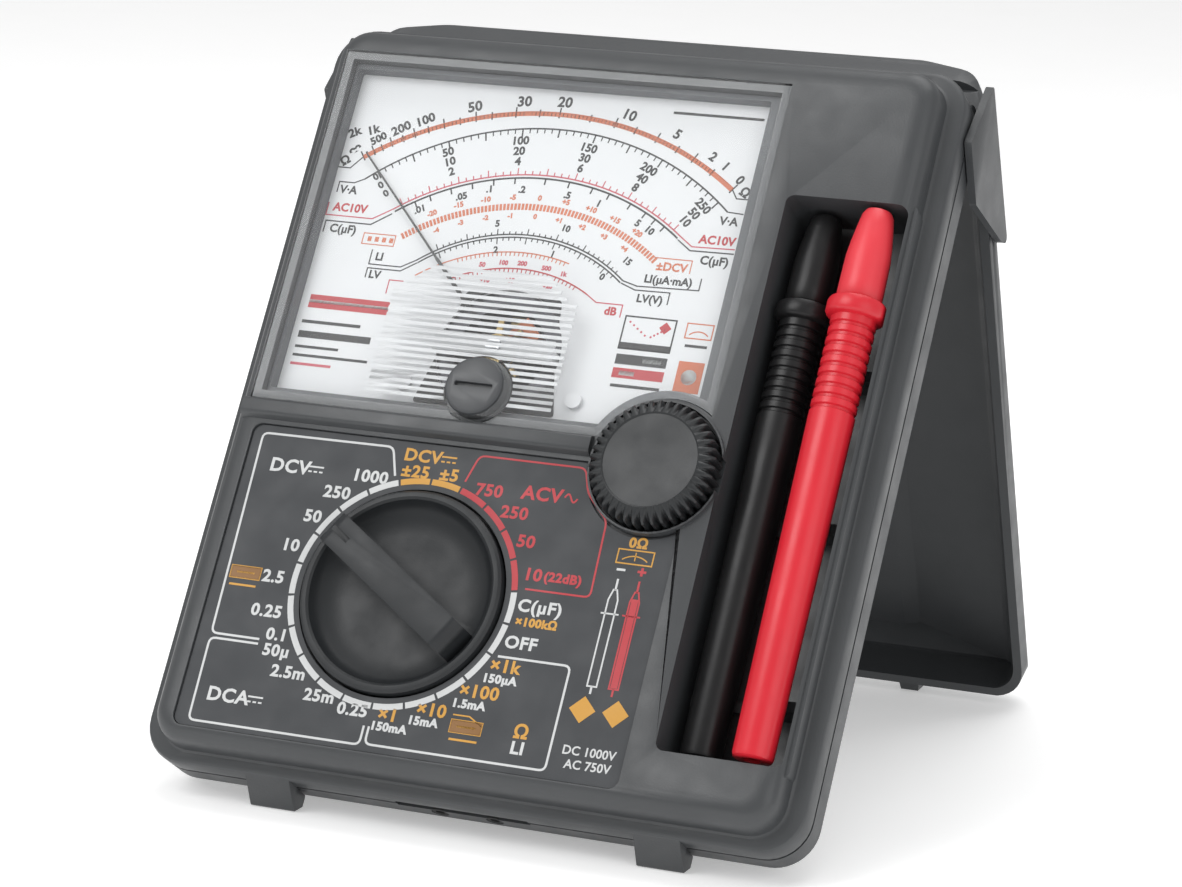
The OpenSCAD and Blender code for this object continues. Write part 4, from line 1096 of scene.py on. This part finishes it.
class METER_OT_pointer(Piece):
    """Pointer: tapered blade on its hub"""
    bl_idname = "meter.pointer"
    bl_label = "Pointer"

    def build(self, context):
        d = dial()
        length = d.pointer_len
        blade = [(-7.5, 0.35), (-1, 0.45), (1, 0.5), (length * 0.45, 0.32), (length * 0.46, 0.22), (length - 1, 0.18),
                 (length, 0.05)]
        outline = [(x, w) for x, w in blade] + [(x, -w) for x, w in reversed(blade)]
        parts = [prism(outline, 4.1, 4.4), prism([(-0.35, -6), (0.35, -6), (0.35, 6), (-0.35, 6)], 4.12, 4.4),
                 lathe([(0.42, 3.98), (0.42, 4.0), (1.6, 4.0), (1.8, 4.15), (1.8, 5.05), (0.42, 5.05)], (0, 0), n=32)]
        obj = merge("pointer_blade", parts)
        spin = Matrix.Translation((AXIS[0], 0, AXIS[1])) @ Matrix.Rotation(-math.radians(d.pointer_rest), 4, "Y")
        mat = finish_mat("pointer_black", (0.02, 0.02, 0.022), 0.4, 0.05, 0.05, 2000.0)
        finish_piece(obj, case_frame() @ spin, "moving_coil", mat, ["pointer"])


class METER_OT_inside(Piece):
    """Finishes of the pieces that keep their CAD shape"""
    bl_idname = "meter.inside"
    bl_label = "Inner pieces"

    def build(self, context):
        steel = finish_mat("steel", (0.55, 0.56, 0.58), 0.3, 0.08, 0.15, 900.0, 1.0, 0.08, brushed=True)
        bright = finish_mat("bright_steel", (0.72, 0.72, 0.74), 0.18, 0.06, 0.08, 900.0, 1.0, 0.05, brushed=True)
        brass = finish_mat("brass", (0.40, 0.30, 0.14), 0.32, 0.08, 0.12, 900.0, 1.0, 0.1, brushed=True)
        alu = finish_mat("light_metal", (0.75, 0.75, 0.77), 0.3, 0.07, 0.12, 900.0, 1.0, 0.06, brushed=True)
        magnet = finish_mat("magnet_steel", (0.10, 0.10, 0.11), 0.45, 0.1, 0.25, 700.0, 0.8, 0.15)
        copper = finish_mat("copper_wire", (0.40, 0.12, 0.05), 0.35, 0.1, 0.6, 5000.0, 0.4, 0.12)
        dull = finish_mat("painted_metal", (0.68, 0.685, 0.70), 0.6, 0.08, 0.05, 900.0)
        board = finish_mat("board_green", (0.02, 0.10, 0.045), 0.35, 0.08, 0.15, 1500.0, coat=0.3)
        tan = finish_mat("lacquer_tan", (0.52, 0.40, 0.24), 0.35, 0.08, 0.1, 1200.0, coat=0.2)
        blue = finish_mat("blue_plastic", (0.03, 0.06, 0.25), 0.3, 0.06, 0.1, 1500.0)
        black = finish_mat("black_plastic", (0.018, 0.018, 0.02), 0.45, 0.08, 0.2, 2200.0, tint=0.1)
        bezel = bpy.data.materials.get("bezel_grey")
        rubber = finish_mat("rubber", (0.02, 0.02, 0.02), 0.7, 0.08, 0.3, 1500.0)
        green = finish_mat("cell_sleeve", (0.03, 0.16, 0.06), 0.3, 0.05, 0.05, 600.0, coat=0.3)
        glassy = clear_mat("fuse_glass", (0.93, 0.95, 0.95), 0.12, 0.05, 0.15)
        finishes = {
            "case_screws": steel, "dial_screws": dull, "circuit_board": board, "switch_pads": brass,
            "resistors": tan, "capacitors": blue, "diodes": black, "trimmer": blue, "potentiometer": black,
            "lead_grommets": rubber, "meter_frame": bezel, "meter_yoke": magnet, "meter_core": magnet,
            "core_holder": brass, "meter_bridges": dull, "jewel_screws": steel, "aa_cells": green,
            "battery_contacts": steel, "fuse": glassy, "fuse_clips": brass, "switch_rotor": tan, "wipers": brass,
            "detent_balls": bright, "detent_springs": steel, "knob_clip": steel, "pot_shaft": steel,
            "zero_lever": brass, "coil_former": alu, "coil_winding": copper, "coil_pivots": steel,
            "balance_weights": brass, "hairsprings": brass, "black_probe_pin": bright, "red_probe_pin": bright,
        }
        for name, mat in finishes.items():
            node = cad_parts[name]
            node.data.materials.clear()
            node.data.materials.append(mat)


class METER_OT_stage(Piece):
    """Plain floor, soft studio light and the camera"""
    bl_idname = "meter.stage"
    bl_label = "Stage"

    def build(self, context):
        scene = context.scene
        if look().floor:
            bm = bmesh.new()
            bmesh.ops.create_grid(bm, x_segments=2, y_segments=2, size=6)
            floor = as_object("floor", bm)
            floor.location = (0, 0, -0.0001)
            mat = finish_mat("floor_white", (0.90, 0.90, 0.90), 0.8, 0.05, 0.02, 40.0, tint=0.01)
            glow = mat.node_tree.nodes["Principled BSDF"]
            glow.inputs["Emission Color"].default_value = (1, 1, 1, 1)
            glow.inputs["Emission Strength"].default_value = 0.33
            floor.data.materials.append(mat)
        world = bpy.data.worlds.new("studio")
        world.use_nodes = True
        world.node_tree.nodes["Background"].inputs["Color"].default_value = (1, 1, 1, 1)
        world.node_tree.nodes["Background"].inputs["Strength"].default_value = 0.54
        scene.world = world
        for name, where, aim, size, power in (
                ("key", (-0.55, -0.7, 0.95), (0, 0, 0.06), 0.7, 6.7),
                ("fill", (0.9, -0.6, 0.5), (0, 0, 0.06), 0.8, 2.3),
                ("top", (0.1, 0.25, 1.1), (0, 0, 0.06), 0.8, 5.4)):
            lamp = bpy.data.lights.new(name, "AREA")
            lamp.shape = "SQUARE"
            lamp.size = size
            lamp.energy = power
            obj = bpy.data.objects.new(name, lamp)
            obj.location = where
            obj.rotation_euler = (Vector(aim) - Vector(where)).to_track_quat("-Z", "Y").to_euler()
            scene.collection.objects.link(obj)
        turned = case_frame()
        eye = turned @ Vector((286.6, -643.5, -155.8))
        aim = turned @ Vector((9.1, 5.5, 72.4))
        cam = bpy.data.cameras.new("view")
        cam.lens = 121.9
        cam.clip_start = 0.01
        obj = bpy.data.objects.new("view", cam)
        roll = Matrix.Rotation(math.radians(1.74), 4, "Z")
        facing = (aim - eye).to_track_quat("-Z", "Y").to_matrix().to_4x4()
        obj.matrix_world = Matrix.Translation(eye) @ facing @ roll
        scene.collection.objects.link(obj)
        scene.camera = obj
        scene.view_settings.view_transform = "Standard"


class METER_PT_panel(bpy.types.Panel):
    """Buttons of the meter"""
    bl_label = "Analog multimeter"
    bl_space_type = "VIEW_3D"
    bl_region_type = "UI"
    bl_category = "Meter"

    def draw(self, context):
        for group in (context.scene.meter_shape, context.scene.meter_dial, context.scene.meter_look):
            box = self.layout.box()
            for key in group.__annotations__:
                box.prop(group, key)
        for op in OPERATORS:
            self.layout.operator(op.bl_idname)


OPERATORS = (METER_OT_front, METER_OT_rear, METER_OT_cover, METER_OT_dial, METER_OT_panel, METER_OT_window,
             METER_OT_range_knob, METER_OT_zero_knob, METER_OT_corrector, METER_OT_probes, METER_OT_pointer,
             METER_OT_inside, METER_OT_stage)
CLASSES = (MeterShape, MeterDial, MeterLook) + OPERATORS + (METER_PT_panel,)


def register():
    for cls in CLASSES:
        bpy.utils.register_class(cls)
    bpy.types.Scene.meter_shape = PointerProperty(type=MeterShape)
    bpy.types.Scene.meter_dial = PointerProperty(type=MeterDial)
    bpy.types.Scene.meter_look = PointerProperty(type=MeterLook)


def unregister():
    del bpy.types.Scene.meter_shape
    del bpy.types.Scene.meter_dial
    del bpy.types.Scene.meter_look
    for cls in reversed(CLASSES):
        bpy.utils.unregister_class(cls)


def main():
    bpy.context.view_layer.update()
    register()
    for op in OPERATORS:
        group, name = op.bl_idname.split(".")
        if getattr(getattr(bpy.ops, group), name)() != {"FINISHED"}:
            raise RuntimeError(op.bl_idname + " did not finish")


if __name__ == "__main__":
    main()
